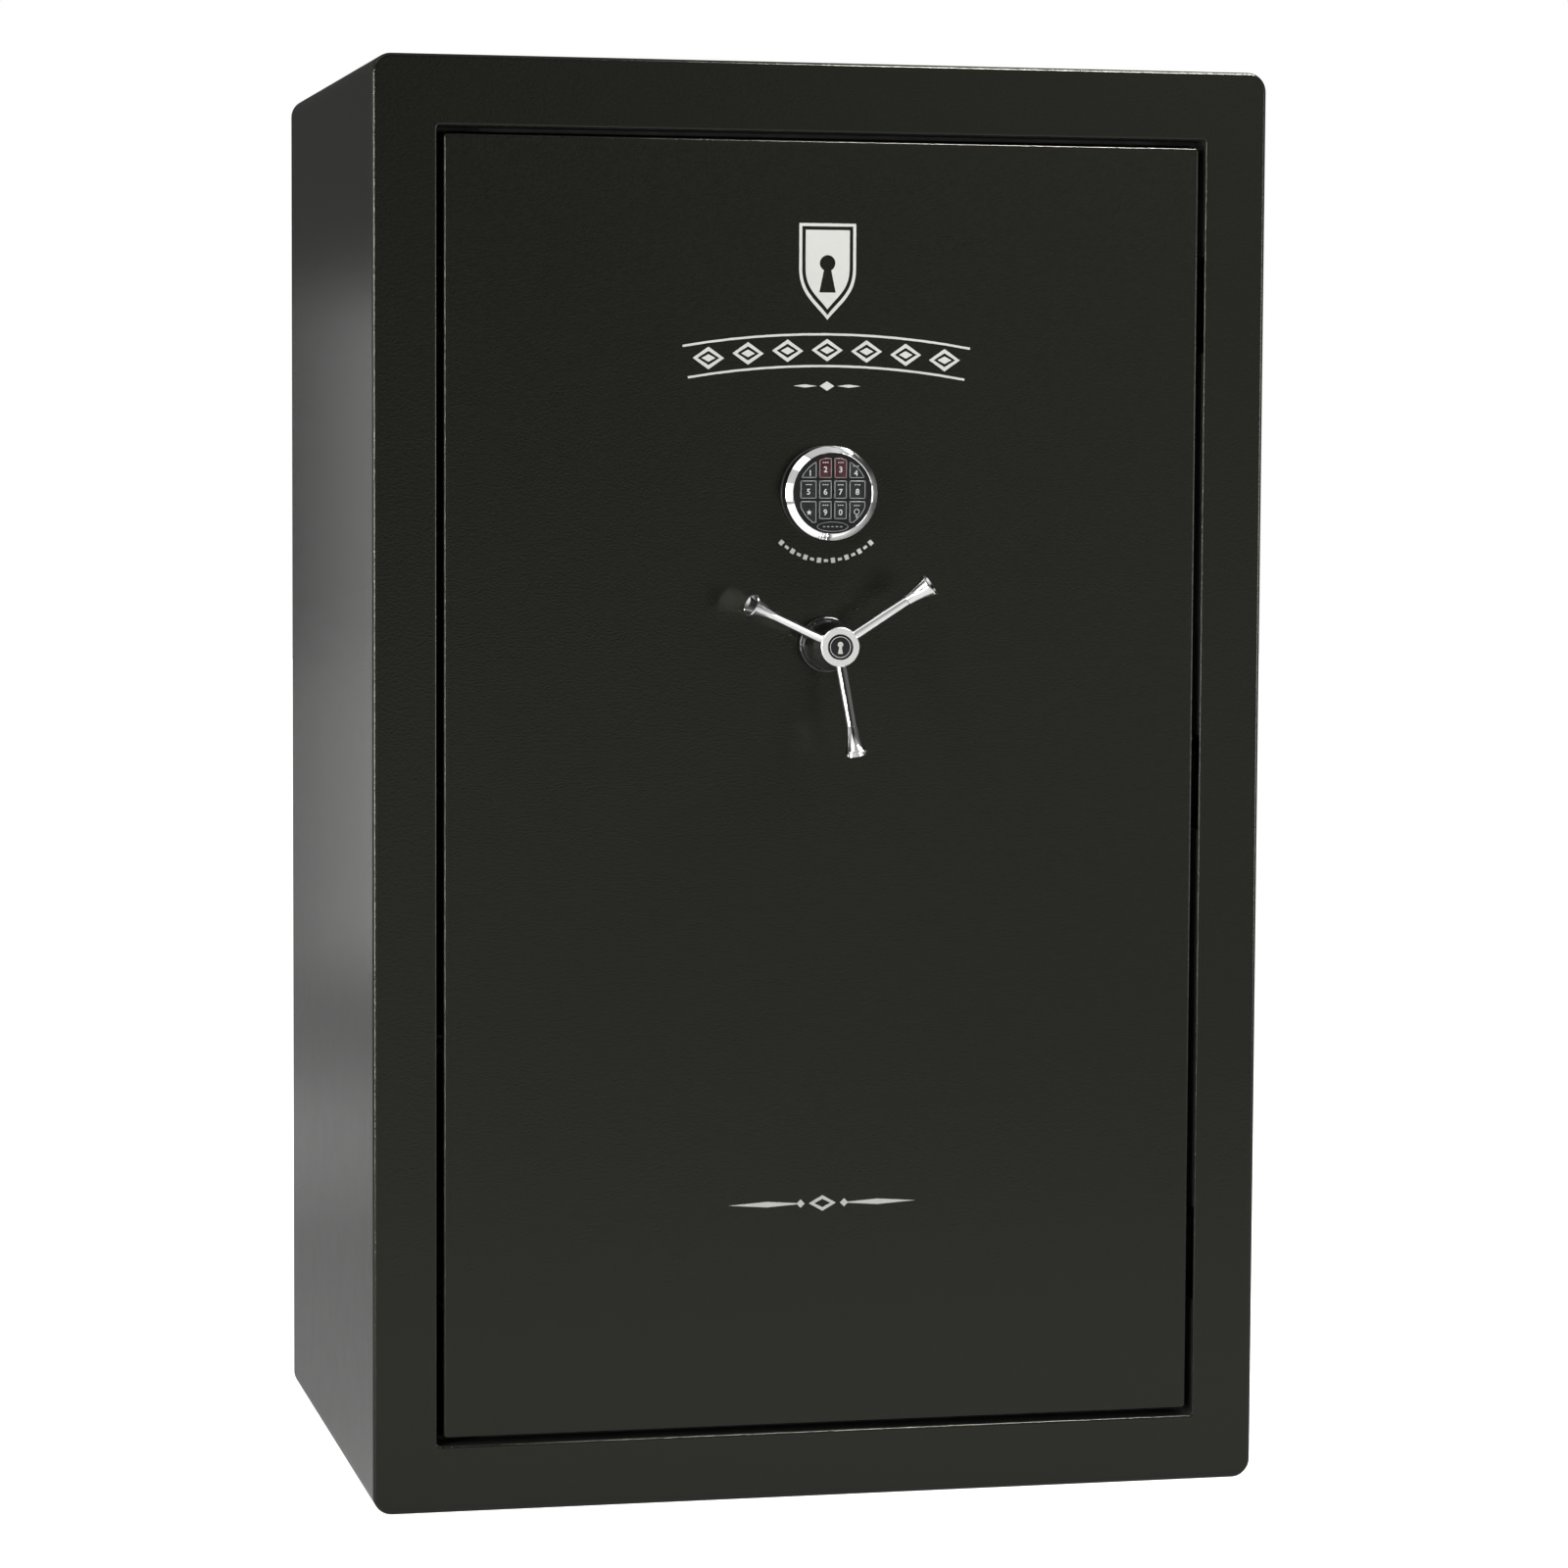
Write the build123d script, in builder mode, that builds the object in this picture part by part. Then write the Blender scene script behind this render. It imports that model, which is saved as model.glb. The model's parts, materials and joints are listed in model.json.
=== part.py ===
from build123d import *
from math import cos, pi, radians, sin
import os

# Gun safe: a formed steel body with a hinged door, boltwork worked by a three-spoke handle,
# an electronic keypad lock, fireboard lining and a carpeted interior with shelves and racks.
# Frame: +X to the right seen from the front, +Y into the safe, +Z up.
# Origin: the centre of the body's base, on the floor. Millimetres.
# Depths are measured from the plane of the face frame into the safe; ahead of it they are negative.

# ---- driving dimensions: body -------------------------------------------------------------
WIDTH = 973.0
HEIGHT = 1537.0
DEPTH = 700.0
STEEL = 3.0  # body sheet
CORNER_R = 20.5  # bends that run along the depth
FRONT_R = 4.5  # bend round the face
FRONT = -DEPTH / 2

OPENING_W = 837.0
OPENING_LOW = 71.5
OPENING_HIGH = 1463.5
OPENING_R = 4.0
EDGE_R = 2.5  # bend at the edges of the opening and of the door skin
JAMB_T = 4.0
JAMB_DEPTH = 75.0
JAMB_LIP = 20.0
SEAL_DEPTH = 40.0
SEAL_W = 15.0
SEAL_T = 3.5

ANCHOR_X = 700.0  # spacing of the floor anchor holes
ANCHOR_Y = 460.0
ANCHOR_R = 7.0

# ---- hinges -------------------------------------------------------------------------------
HINGE_Z = (250.0, 768.5, 1287.0)
PIN_OFFSET = 28.0  # pin axis outside the opening's edge
PIN_DEPTH = 22.0
PIN_R = 7.0
KNUCKLE_R = 13.0
KNUCKLE_HALF = 30.0
LUG_GAP = 33.0
LUG_T = 12.0
SLOT_HALF = 52.0  # half height of the jamb's hinge slots

# ---- door ---------------------------------------------------------------------------------
DOOR_GAP = 7.5
DOOR_SET = 1.5  # door face behind the face frame
DOOR_R = 4.0
SKIN_T = 4.0
SKIN_RETURN = 12.0
BOX_SETBACK = 34.0  # door box side, inside the opening's edge
BOX_DEPTH = 112.0
BOX_T = 3.0
BOX_LIP = 25.0
BOARD_T = 25.0
HARD_T = 6.0
PANEL_T = 5.0

# ---- boltwork -----------------------------------------------------------------------------
BOLT_Z = (214.0, 491.0, 768.5, 1046.0, 1323.0)
FIXED_BOLT_Z = (150.0, 420.0, 600.0, 940.0, 1120.0, 1395.0)
BOLT_R = 12.5
BOLT_DEPTH = 92.0  # depth of the bolts' axes
BOLT_TIP = -408.0
BOLT_END = -310.0
BAR_W = 40.0
BAR_T = 12.0
GUIDE_X = -350.0
CRANK_R = 30.0  # cam pin radius: 60 degrees of handle give 30 mm of throw
PIN_REST = 30.0  # degrees of the cam pin from straight up, with the bolts drawn in
CAM_PIN_R = 6.0
ARM_FRONT = 80.0
ARM_T = 6.0

# ---- handle and keypad --------------------------------------------------------------------
HANDLE_Z = 921.0
SPINDLE_R = 10.0
SPOKE_ANGLES = (36.0, 156.0, 276.0)
SPOKE_REACH = 112.5
SPOKE_LEAN = 19.5
HUB_FRONT = -68.0
SPOKE_DEPTH = -54.0  # where the spokes' axes meet the hub's axis
KEYPAD_Z = 1082.5
KEYPAD_R = 50.0
KEYPAD_BORE = 42.8
KEYPAD_FRONT = -30.0
KEYPAD_BEVEL = 6.6  # depth of the ring's bevel
FACE_DEPTH = -28.5
FACE_T = 5.5
KEY_R = 38.6  # circle that trims the keys
KEY_PROUD = 1.1
KEY_T = 4.0
KEY_POCKET = 4.0  # leaves 1.1 mm behind a key, which travels 0.8 mm

# ---- lining and interior ------------------------------------------------------------------
FIREBOARD_T = 12.5
LINER_T = 6.0
LINING_FRONT = 80.0
BACK_T = 3.0
BACK_INSET = 3.0
SHELF_T = 16.0
SHELF_FRONT = 180.0
SHELF_Z = (330.0, 640.0, 950.0)
TOP_SHELF_Z = 1250.0

# ---- derived places -----------------------------------------------------------------------
OPENING_H = OPENING_HIGH - OPENING_LOW
OPENING_MID = (OPENING_HIGH + OPENING_LOW) / 2
OPENING_EDGE = OPENING_W / 2
WALL_X = WIDTH / 2 - STEEL  # inner face of a side wall
PIN_X = OPENING_EDGE + PIN_OFFSET
PIN_Y = FRONT + PIN_DEPTH
DOOR_W = OPENING_W - 2 * DOOR_GAP
DOOR_H = OPENING_H - 2 * (DOOR_GAP + 1.0)
BOX_X = OPENING_EDGE - BOX_SETBACK
BOX_LOW = OPENING_LOW + BOX_SETBACK
BOX_HIGH = OPENING_HIGH - BOX_SETBACK
BOX_H = BOX_HIGH - BOX_LOW
HARD_FRONT = DOOR_SET + SKIN_T + BOARD_T
HARD_BACK = HARD_FRONT + HARD_T
BACK_FRONT = DEPTH - BACK_INSET - BACK_T
LINER_X = WALL_X - FIREBOARD_T - LINER_T
LINER_BACK = BACK_FRONT - FIREBOARD_T - LINER_T
FLOOR_Z = STEEL + FIREBOARD_T + LINER_T
CEILING_Z = HEIGHT - STEEL - FIREBOARD_T - LINER_T


def face_plane(depth):
    """Plane parallel to the face, that deep: local x is +X, local y is +Z, and it looks at -Y."""
    return Plane(origin=(0, FRONT + depth, 0), x_dir=(1, 0, 0), z_dir=(0, -1, 0))


def side_plane(x):
    """Plane across the width at x: local x is +Y, local y is +Z, and it looks at +X."""
    return Plane(origin=(x, 0, 0), x_dir=(0, 1, 0), z_dir=(1, 0, 0))


def span(low, high):
    """The middle and the length of a stretch."""
    return (low + high) / 2, high - low


def block(x, y, z, mode=Mode.ADD):
    """Adds a box to the part being built, from its (low, high) in x, in depth and in z."""
    middles, lengths = zip(span(*x), span(FRONT + y[0], FRONT + y[1]), span(*z))
    with Locations(middles):
        Box(*lengths, mode=mode)


def round_bar(x, z, depths, radius, mode=Mode.ADD):
    """Adds a cylinder that runs along the depth, from its two depths."""
    with BuildSketch(face_plane(depths[0])) as circle:
        with Locations((x, z)):
            Circle(radius)
    extrude(circle.sketch, amount=depths[0] - depths[1], mode=mode)


def cross_bar(xs, depth, z, radius, mode=Mode.ADD):
    """Adds a cylinder that runs along X."""
    with BuildSketch(side_plane(xs[0])) as circle:
        with Locations((FRONT + depth, z)):
            Circle(radius)
    extrude(circle.sketch, amount=xs[1] - xs[0], mode=mode)


def save(built, name):
    """Labels a finished piece and writes it as parts/name.step."""
    built.part.label = name
    export_step(built.part, f"parts/{name}.step")


os.makedirs("parts", exist_ok=True)

# =========================== body ==========================================================

with BuildPart() as body_void:
    with BuildSketch(face_plane(STEEL)):
        with Locations((0, HEIGHT / 2)):
            RectangleRounded(WIDTH - 2 * STEEL, HEIGHT - 2 * STEEL, CORNER_R - STEEL)
    extrude(amount=-(DEPTH - STEEL))
    fillet(body_void.faces().sort_by(Axis.Y)[0].edges(), FRONT_R - STEEL)

with BuildPart() as body_shell:
    with BuildSketch(face_plane(0)):
        with Locations((0, HEIGHT / 2)):
            RectangleRounded(WIDTH, HEIGHT, CORNER_R)
    extrude(amount=-DEPTH)
    fillet(body_shell.faces().sort_by(Axis.Y)[0].edges(), FRONT_R)
    add(body_void.part, mode=Mode.SUBTRACT)
    with BuildSketch(face_plane(0)):
        with Locations((0, OPENING_MID)):
            RectangleRounded(OPENING_W, OPENING_H, OPENING_R)
    extrude(amount=-STEEL, mode=Mode.SUBTRACT)
    fillet(body_shell.faces().sort_by(Axis.Y)[0].inner_wires()[0].edges(), EDGE_R)
    with BuildSketch(Plane.XY):
        with GridLocations(ANCHOR_X, ANCHOR_Y, 2, 2):
            Circle(ANCHOR_R)
    extrude(amount=STEEL, mode=Mode.SUBTRACT)
save(body_shell, "body_shell")

with BuildPart() as back_panel:
    fit = 0.3
    with BuildSketch(face_plane(BACK_FRONT)):
        with Locations((0, HEIGHT / 2)):
            RectangleRounded(2 * (WALL_X - fit), HEIGHT - 2 * (STEEL + fit), CORNER_R - STEEL)
    extrude(amount=-BACK_T)
save(back_panel, "back_panel")


def hinge_slots(x_low, x_high):
    """Cuts the gaps through which the hinge arms pass."""
    for z in HINGE_Z:
        block((x_low, x_high), (STEEL, JAMB_DEPTH), (z - SLOT_HALF, z + SLOT_HALF), Mode.SUBTRACT)


with BuildPart() as door_jamb:
    outer = 2 * JAMB_T
    lipped = 2 * (JAMB_T + JAMB_LIP)
    with BuildSketch(face_plane(STEEL)):
        with Locations((0, OPENING_MID)):
            RectangleRounded(OPENING_W + outer, OPENING_H + outer, OPENING_R + JAMB_T)
            RectangleRounded(OPENING_W, OPENING_H, OPENING_R, mode=Mode.SUBTRACT)
    extrude(amount=-(JAMB_DEPTH - STEEL))
    with BuildSketch(face_plane(JAMB_DEPTH - JAMB_T)):
        with Locations((0, OPENING_MID)):
            Rectangle(OPENING_W + lipped, OPENING_H + lipped)
            RectangleRounded(OPENING_W, OPENING_H, OPENING_R, mode=Mode.SUBTRACT)
    extrude(amount=-JAMB_T)
    hinge_slots(OPENING_EDGE - 1, OPENING_EDGE + JAMB_T + JAMB_LIP + 1)
save(door_jamb, "door_jamb")

with BuildPart() as door_seal:
    with BuildSketch(face_plane(SEAL_DEPTH)):
        with Locations((0, OPENING_MID)):
            RectangleRounded(OPENING_W, OPENING_H, OPENING_R)
            Rectangle(OPENING_W - 2 * SEAL_T, OPENING_H - 2 * SEAL_T, mode=Mode.SUBTRACT)
    extrude(amount=-SEAL_W)
    hinge_slots(OPENING_EDGE - SEAL_T - 1, OPENING_EDGE + 1)
save(door_seal, "door_seal")

# =========================== hinges ========================================================

BRACKET_T = 8.0
BRACKET_DEPTHS = (8.0, 50.0)

with BuildPart() as hinge_brackets:
    for z in HINGE_Z:
        block((WALL_X - BRACKET_T, WALL_X), BRACKET_DEPTHS, (z - LUG_GAP - LUG_T, z + LUG_GAP + LUG_T))
        for low in (z - LUG_GAP - LUG_T, z + LUG_GAP):
            with BuildSketch(Plane.XY.offset(low)):
                reach = WALL_X - BRACKET_T - PIN_X
                with Locations((PIN_X, PIN_Y)):
                    Circle(KNUCKLE_R)
                with Locations((PIN_X + reach / 2, PIN_Y)):
                    Rectangle(reach, 2 * KNUCKLE_R)
                with Locations((PIN_X, PIN_Y)):
                    Circle(PIN_R + 0.02, mode=Mode.SUBTRACT)
            extrude(amount=LUG_T)
save(hinge_brackets, "hinge_brackets")

with BuildPart() as hinge_pins:
    head_r, head_t = PIN_R + 2.5, 3.0
    for z in HINGE_Z:
        low, high = z - LUG_GAP - LUG_T - 2, z + LUG_GAP + LUG_T
        with BuildSketch(Plane.XY.offset(low)):
            with Locations((PIN_X, PIN_Y)):
                Circle(PIN_R)
        extrude(amount=high - low)
        with BuildSketch(Plane.XY.offset(high)):
            with Locations((PIN_X, PIN_Y)):
                Circle(head_r)
        extrude(amount=head_t)
save(hinge_pins, "hinge_pins")

with BuildPart() as hinge_washers:
    washer_t = 2.8
    for z in HINGE_Z:
        with BuildSketch(Plane.XY.offset(z - LUG_GAP)):
            with Locations((PIN_X, PIN_Y)):
                Circle(KNUCKLE_R - 2)
                Circle(PIN_R + 0.1, mode=Mode.SUBTRACT)
        extrude(amount=washer_t)
save(hinge_washers, "hinge_washers")

ARM_LEG = 18.0  # width of the goose neck's legs
ARM_LENGTH = 66.0
ARM_PAD_T = 6.0

with BuildPart() as hinge_arms:
    for z in HINGE_Z:
        with BuildSketch(Plane.XY.offset(z - KNUCKLE_HALF)):
            with Locations((PIN_X, PIN_Y)):
                Circle(KNUCKLE_R)
            with Locations((PIN_X, PIN_Y + ARM_LENGTH / 2)):
                Rectangle(ARM_LEG, ARM_LENGTH)
            reach = PIN_X + ARM_LEG / 2 - BOX_X - ARM_PAD_T
            with Locations((PIN_X + ARM_LEG / 2 - reach / 2, PIN_Y + ARM_LENGTH - ARM_LEG / 2)):
                Rectangle(reach, ARM_LEG)
            with Locations((PIN_X, PIN_Y)):
                Circle(PIN_R + 0.08, mode=Mode.SUBTRACT)
        extrude(amount=2 * KNUCKLE_HALF)
        block((BOX_X, BOX_X + ARM_PAD_T), (50, 105), (z - 45, z + 45))
save(hinge_arms, "hinge_arms")

# =========================== door structure ================================================

with BuildPart() as door_skin:
    with BuildSketch(face_plane(DOOR_SET)):
        with Locations((0, OPENING_MID)):
            RectangleRounded(DOOR_W, DOOR_H, DOOR_R)
    extrude(amount=-SKIN_RETURN)
    fillet(door_skin.faces().sort_by(Axis.Y)[0].edges(), EDGE_R)
    with BuildSketch(face_plane(DOOR_SET + SKIN_T)):
        with Locations((0, OPENING_MID)):
            Rectangle(DOOR_W - 2 * SKIN_T, DOOR_H - 2 * SKIN_T)
    extrude(amount=-(SKIN_RETURN - SKIN_T), mode=Mode.SUBTRACT)
    round_bar(0, HANDLE_Z, (0, 20), SPINDLE_R + 2, Mode.SUBTRACT)
    round_bar(0, KEYPAD_Z, (0, 20), 6, Mode.SUBTRACT)
save(door_skin, "door_skin")

BUSH_R = 15.0
BOX_FRONT = DOOR_SET + SKIN_T

with BuildPart() as door_box:
    box_mid = (BOX_LOW + BOX_HIGH) / 2
    with BuildSketch(face_plane(BOX_FRONT)):
        with Locations((0, box_mid)):
            Rectangle(2 * BOX_X, BOX_H)
            Rectangle(2 * (BOX_X - BOX_T), BOX_H - 2 * BOX_T, mode=Mode.SUBTRACT)
    extrude(amount=-(BOX_DEPTH - BOX_FRONT))
    with BuildSketch(face_plane(BOX_DEPTH - BOX_T)):
        with Locations((0, box_mid)):
            Rectangle(2 * BOX_X, BOX_H)
            Rectangle(2 * (BOX_X - BOX_LIP), BOX_H - 2 * BOX_LIP, mode=Mode.SUBTRACT)
    extrude(amount=-BOX_T)
    for z in BOLT_Z:
        cross_bar((-BOX_X - 1, -BOX_X + BOX_T + 1), BOLT_DEPTH, z, BUSH_R + 0.05, Mode.SUBTRACT)
    for z in FIXED_BOLT_Z:
        cross_bar((BOX_X - BOX_T - 1, BOX_X + 1), BOLT_DEPTH, z, BOLT_R + 0.05, Mode.SUBTRACT)
save(door_box, "door_box")

with BuildPart() as door_fireboard:
    inner = BOX_X - BOX_T - 0.5
    block((-inner, inner), (BOX_FRONT, HARD_FRONT), (BOX_LOW + BOX_T + 0.5, BOX_HIGH - BOX_T - 0.5))
    round_bar(0, HANDLE_Z, (0, 60), SPINDLE_R + 6, Mode.SUBTRACT)
    round_bar(0, KEYPAD_Z, (0, 60), 8, Mode.SUBTRACT)
save(door_fireboard, "door_fireboard")

with BuildPart() as hard_plate:
    block((-100, 100), (HARD_FRONT, HARD_BACK), (850, 1180))
    round_bar(0, HANDLE_Z, (0, 60), SPINDLE_R + 0.6, Mode.SUBTRACT)
    round_bar(0, KEYPAD_Z, (0, 60), 6, Mode.SUBTRACT)
save(hard_plate, "hard_plate")

with BuildPart() as door_panel:
    edge = 1.0
    block(
        (-BOX_X + edge, BOX_X - edge),
        (BOX_DEPTH, BOX_DEPTH + PANEL_T),
        (BOX_LOW + edge, BOX_HIGH - edge),
    )
    fillet(door_panel.faces().sort_by(Axis.Y)[-1].edges(), 2)
    for x in (-BOX_X + 12, BOX_X - 12):
        for step in range(5):
            z = BOX_LOW + 40 + step * (BOX_H - 80) / 4
            round_bar(x, z, (BOX_DEPTH - 1, BOX_DEPTH + PANEL_T + 1), 2.6, Mode.SUBTRACT)
save(door_panel, "door_panel")

with BuildPart() as panel_screws:
    for x in (-BOX_X + 12, BOX_X - 12):
        for step in range(5):
            z = BOX_LOW + 40 + step * (BOX_H - 80) / 4
            round_bar(x, z, (BOX_DEPTH + 0.01, BOX_DEPTH + PANEL_T), 2.5)
            round_bar(x, z, (BOX_DEPTH + PANEL_T, BOX_DEPTH + PANEL_T + 2.4), 5)
save(panel_screws, "panel_screws")

# Hanging organiser on the inside of the door: a backing with three rows of pockets.
POCKET_FRONT = BOX_DEPTH + PANEL_T
POCKET_BULGE = 20.0
BACKING_T = 4.0
ORGANISER_X = 320.0
ORGANISER_Z = (215.0, 1325.0)
POCKET_COLUMNS = 3
POCKET_ROWS = (250.0, 610.0, 970.0)
POCKET_H = 250.0
POCKET_W = 190.0
POCKET_PITCH = 208.0

with BuildPart() as door_organiser:
    block(
        (-ORGANISER_X, ORGANISER_X),
        (POCKET_FRONT, POCKET_FRONT + BACKING_T),
        ORGANISER_Z,
    )
    for z in POCKET_ROWS:
        for column in range(POCKET_COLUMNS):
            x = (column - 1) * POCKET_PITCH
            block(
                (x - POCKET_W / 2, x + POCKET_W / 2),
                (POCKET_FRONT + BACKING_T, POCKET_FRONT + BACKING_T + POCKET_BULGE),
                (z, z + POCKET_H),
            )
save(door_organiser, "door_organiser")

# =========================== boltwork ======================================================

with BuildPart() as side_bolts:
    for z in BOLT_Z:
        cross_bar((BOLT_TIP, BOLT_END), BOLT_DEPTH, z, BOLT_R)
    tips = side_bolts.faces().filter_by(Axis.X).group_by(Axis.X)[0]
    chamfer([edge for tip in tips for edge in tip.edges()], 2)
save(side_bolts, "side_bolts")

with BuildPart() as fixed_bolts:
    fixed_tip = OPENING_EDGE + 9.0
    for z in FIXED_BOLT_Z:
        cross_bar((BOX_X - BOX_T - 8, BOX_X - BOX_T), BOLT_DEPTH, z, BOLT_R + 4)
        cross_bar((BOX_X - BOX_T, fixed_tip), BOLT_DEPTH, z, BOLT_R)
    tips = fixed_bolts.faces().filter_by(Axis.X).group_by(Axis.X)[-1]
    chamfer([edge for tip in tips for edge in tip.edges()], 2)
save(fixed_bolts, "fixed_bolts")

with BuildPart() as bolt_bushes:
    for z in BOLT_Z:
        cross_bar((-BOX_X - 2, -BOX_X), BOLT_DEPTH, z, BUSH_R + 2)
        cross_bar((-BOX_X, -BOX_X + 10), BOLT_DEPTH, z, BUSH_R)
        cross_bar((-BOX_X - 2, -BOX_X + 10), BOLT_DEPTH, z, BOLT_R + 0.1, Mode.SUBTRACT)
save(bolt_bushes, "bolt_bushes")

with BuildPart() as bolt_guide:
    guide_z = (BOX_LOW + BOX_T, BOX_HIGH - BOX_T)
    block((GUIDE_X - 2, GUIDE_X + 2), (HARD_FRONT + 1, BOX_DEPTH - BOX_T), guide_z)
    for z in BOLT_Z:
        cross_bar((GUIDE_X - 5, GUIDE_X + 5), BOLT_DEPTH, z, BOLT_R + 0.1, Mode.SUBTRACT)
save(bolt_guide, "bolt_guide")

LOCK_X = (-30.0, 31.0)
LOCK_Z = (1040.0, 1125.0)
LOCK_DEPTH = 27.0
LOCK_BOLT_X = (-6.0, 6.0)
LUG_X = (8.0, 20.0)
LUG_Z = (1130.0, 1160.0)
pin_x = CRANK_R * sin(radians(PIN_REST))
pin_low = HANDLE_Z + CRANK_R * cos(radians(PIN_REST))

with BuildPart() as bolt_carriage:
    arm_back = ARM_FRONT + ARM_T
    block(
        (BOLT_END, BOLT_END + BAR_W),
        (BOLT_DEPTH - BAR_T / 2, BOLT_DEPTH + BAR_T / 2),
        (BOLT_Z[0] - 30, BOLT_Z[-1] + 30),
    )
    block((BOLT_END, 32), (ARM_FRONT, arm_back), (895, 985))
    block((4, 24), (ARM_FRONT, arm_back), (985, LUG_Z[1]))
    block(LUG_X, (HARD_BACK + 4, ARM_FRONT), LUG_Z)
    slot_z, slot_h = span(pin_low - CAM_PIN_R - 0.6, HANDLE_Z + CRANK_R + CAM_PIN_R + 0.6)
    with Locations((pin_x, FRONT + ARM_FRONT + ARM_T / 2, slot_z)):
        Box(2 * CAM_PIN_R + 1.0, ARM_T, slot_h, mode=Mode.SUBTRACT)
save(bolt_carriage, "bolt_carriage")

# =========================== handle ========================================================

CAM_DEPTHS = (66.0, 74.0)

with BuildPart() as spoke_form:
    root, tip = 16.0, SPOKE_REACH / cos(radians(SPOKE_LEAN))
    neck = tip - 30.0  # where the rod ends and the flared tip begins
    rod_r, neck_r, step_r, rim_r = 5.5, 4.9, 5.7, 12.2
    with BuildSketch(Plane.XZ):
        with BuildLine():
            Line((0, root), (rod_r, root))
            Line((rod_r, root), (neck_r, neck))
            Line((neck_r, neck), (step_r, neck + 0.8))
            Bezier(
                (step_r, neck + 0.8),
                (step_r + 0.7, neck + 12),
                (rim_r - 3.0, tip - 9),
                (rim_r, tip - 1.2),
            )
            Line((rim_r, tip - 1.2), (rim_r - 0.5, tip))
            Line((rim_r - 0.5, tip), (rim_r - 1.7, tip))
            Line((rim_r - 1.7, tip), (5.6, tip - 13))
            Line((5.6, tip - 13), (3.4, tip - 16))
            Line((3.4, tip - 16), (0, tip - 16))
            Line((0, tip - 16), (0, root))
        make_face()
    revolve(axis=Axis.Z)


def spoke_plane(angle):
    """The plane on a spoke's axis, at the middle of the hub, looking out along the spoke."""
    lean, turn = radians(SPOKE_LEAN), radians(angle)
    along = (cos(lean) * cos(turn), -sin(lean), cos(lean) * sin(turn))
    return Plane(origin=(0, FRONT + SPOKE_DEPTH, HANDLE_Z), z_dir=along)


with BuildPart() as handle_spokes:
    for angle in SPOKE_ANGLES:
        add(spoke_form.part.moved(spoke_plane(angle).location))
save(handle_spokes, "handle_spokes")

HUB_BACK = -7.0
hub_plane = Plane(origin=(0, FRONT, HANDLE_Z), x_dir=(1, 0, 0), z_dir=(0, 0, 1))
hub_axis = Axis((0, FRONT, HANDLE_Z), (0, 1, 0))

with BuildPart() as handle_hub:
    with BuildSketch(hub_plane):
        with BuildLine():
            Polyline(
                (0, HUB_BACK),
                (23, HUB_BACK),
                (23, -24),
                (26, -27),
                (26, -35),
                (24.6, -46),
                (21.6, -58),
                (20.9, HUB_FRONT + 1),
                (20.1, HUB_FRONT),
                (13.8, HUB_FRONT),
                (13.8, HUB_FRONT + 2.5),
                (0, HUB_FRONT + 2.5),
                close=True,
            )
        make_face()
    revolve(axis=hub_axis)
    round_bar(0, HANDLE_Z, (-40, 0), SPINDLE_R + 0.02, Mode.SUBTRACT)
    add(handle_spokes.part, mode=Mode.SUBTRACT)
save(handle_hub, "handle_hub")

with BuildPart() as hub_cap:
    round_bar(0, HANDLE_Z, (HUB_FRONT + 0.6, HUB_FRONT + 2.5), 13.6)
    fillet(hub_cap.faces().sort_by(Axis.Y)[0].edges(), 0.6)
save(hub_cap, "hub_cap")

with BuildPart() as handle_spindle:
    round_bar(0, HANDLE_Z, (-40, CAM_DEPTHS[1]), SPINDLE_R)
    with BuildSketch(face_plane(CAM_DEPTHS[1])):
        with Locations((0, HANDLE_Z)):
            RegularPolygon(13, 6)
    extrude(amount=-5)
save(handle_spindle, "handle_spindle")

with BuildPart() as cam:
    with BuildSketch(face_plane(CAM_DEPTHS[0])):
        with Locations((0, HANDLE_Z)):
            Circle(22)
        with Locations((pin_x, pin_low)):
            Circle(13)
        with Locations(Location((pin_x / 2, (HANDLE_Z + pin_low) / 2, 0), (0, 0, -PIN_REST))):
            Rectangle(26, CRANK_R)
        with Locations((0, HANDLE_Z)):
            Circle(SPINDLE_R + 0.02, mode=Mode.SUBTRACT)
    extrude(amount=CAM_DEPTHS[0] - CAM_DEPTHS[1])
    round_bar(pin_x, pin_low, (CAM_DEPTHS[0], ARM_FRONT + ARM_T + 1), CAM_PIN_R)
    round_bar(pin_x, pin_low, (ARM_FRONT + ARM_T + 1, ARM_FRONT + ARM_T + 4), CAM_PIN_R + 3)
save(cam, "cam")

with BuildPart() as spindle_bearing:
    round_bar(0, HANDLE_Z, (HARD_BACK, HARD_BACK + 5), 30)
    round_bar(0, HANDLE_Z, (HARD_BACK + 5, CAM_DEPTHS[0] - 1), 17)
    round_bar(0, HANDLE_Z, (HARD_BACK, CAM_DEPTHS[0] - 1), SPINDLE_R + 0.08, Mode.SUBTRACT)
save(spindle_bearing, "spindle_bearing")

with BuildPart() as handle_escutcheon:
    round_bar(0, HANDLE_Z, (HUB_BACK + 0.5, DOOR_SET), 30)
    fillet(handle_escutcheon.faces().sort_by(Axis.Y)[0].edges(), 2.5)
    round_bar(0, HANDLE_Z, (HUB_BACK, DOOR_SET), SPINDLE_R + 0.5, Mode.SUBTRACT)
save(handle_escutcheon, "handle_escutcheon")

# =========================== lock ==========================================================

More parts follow.
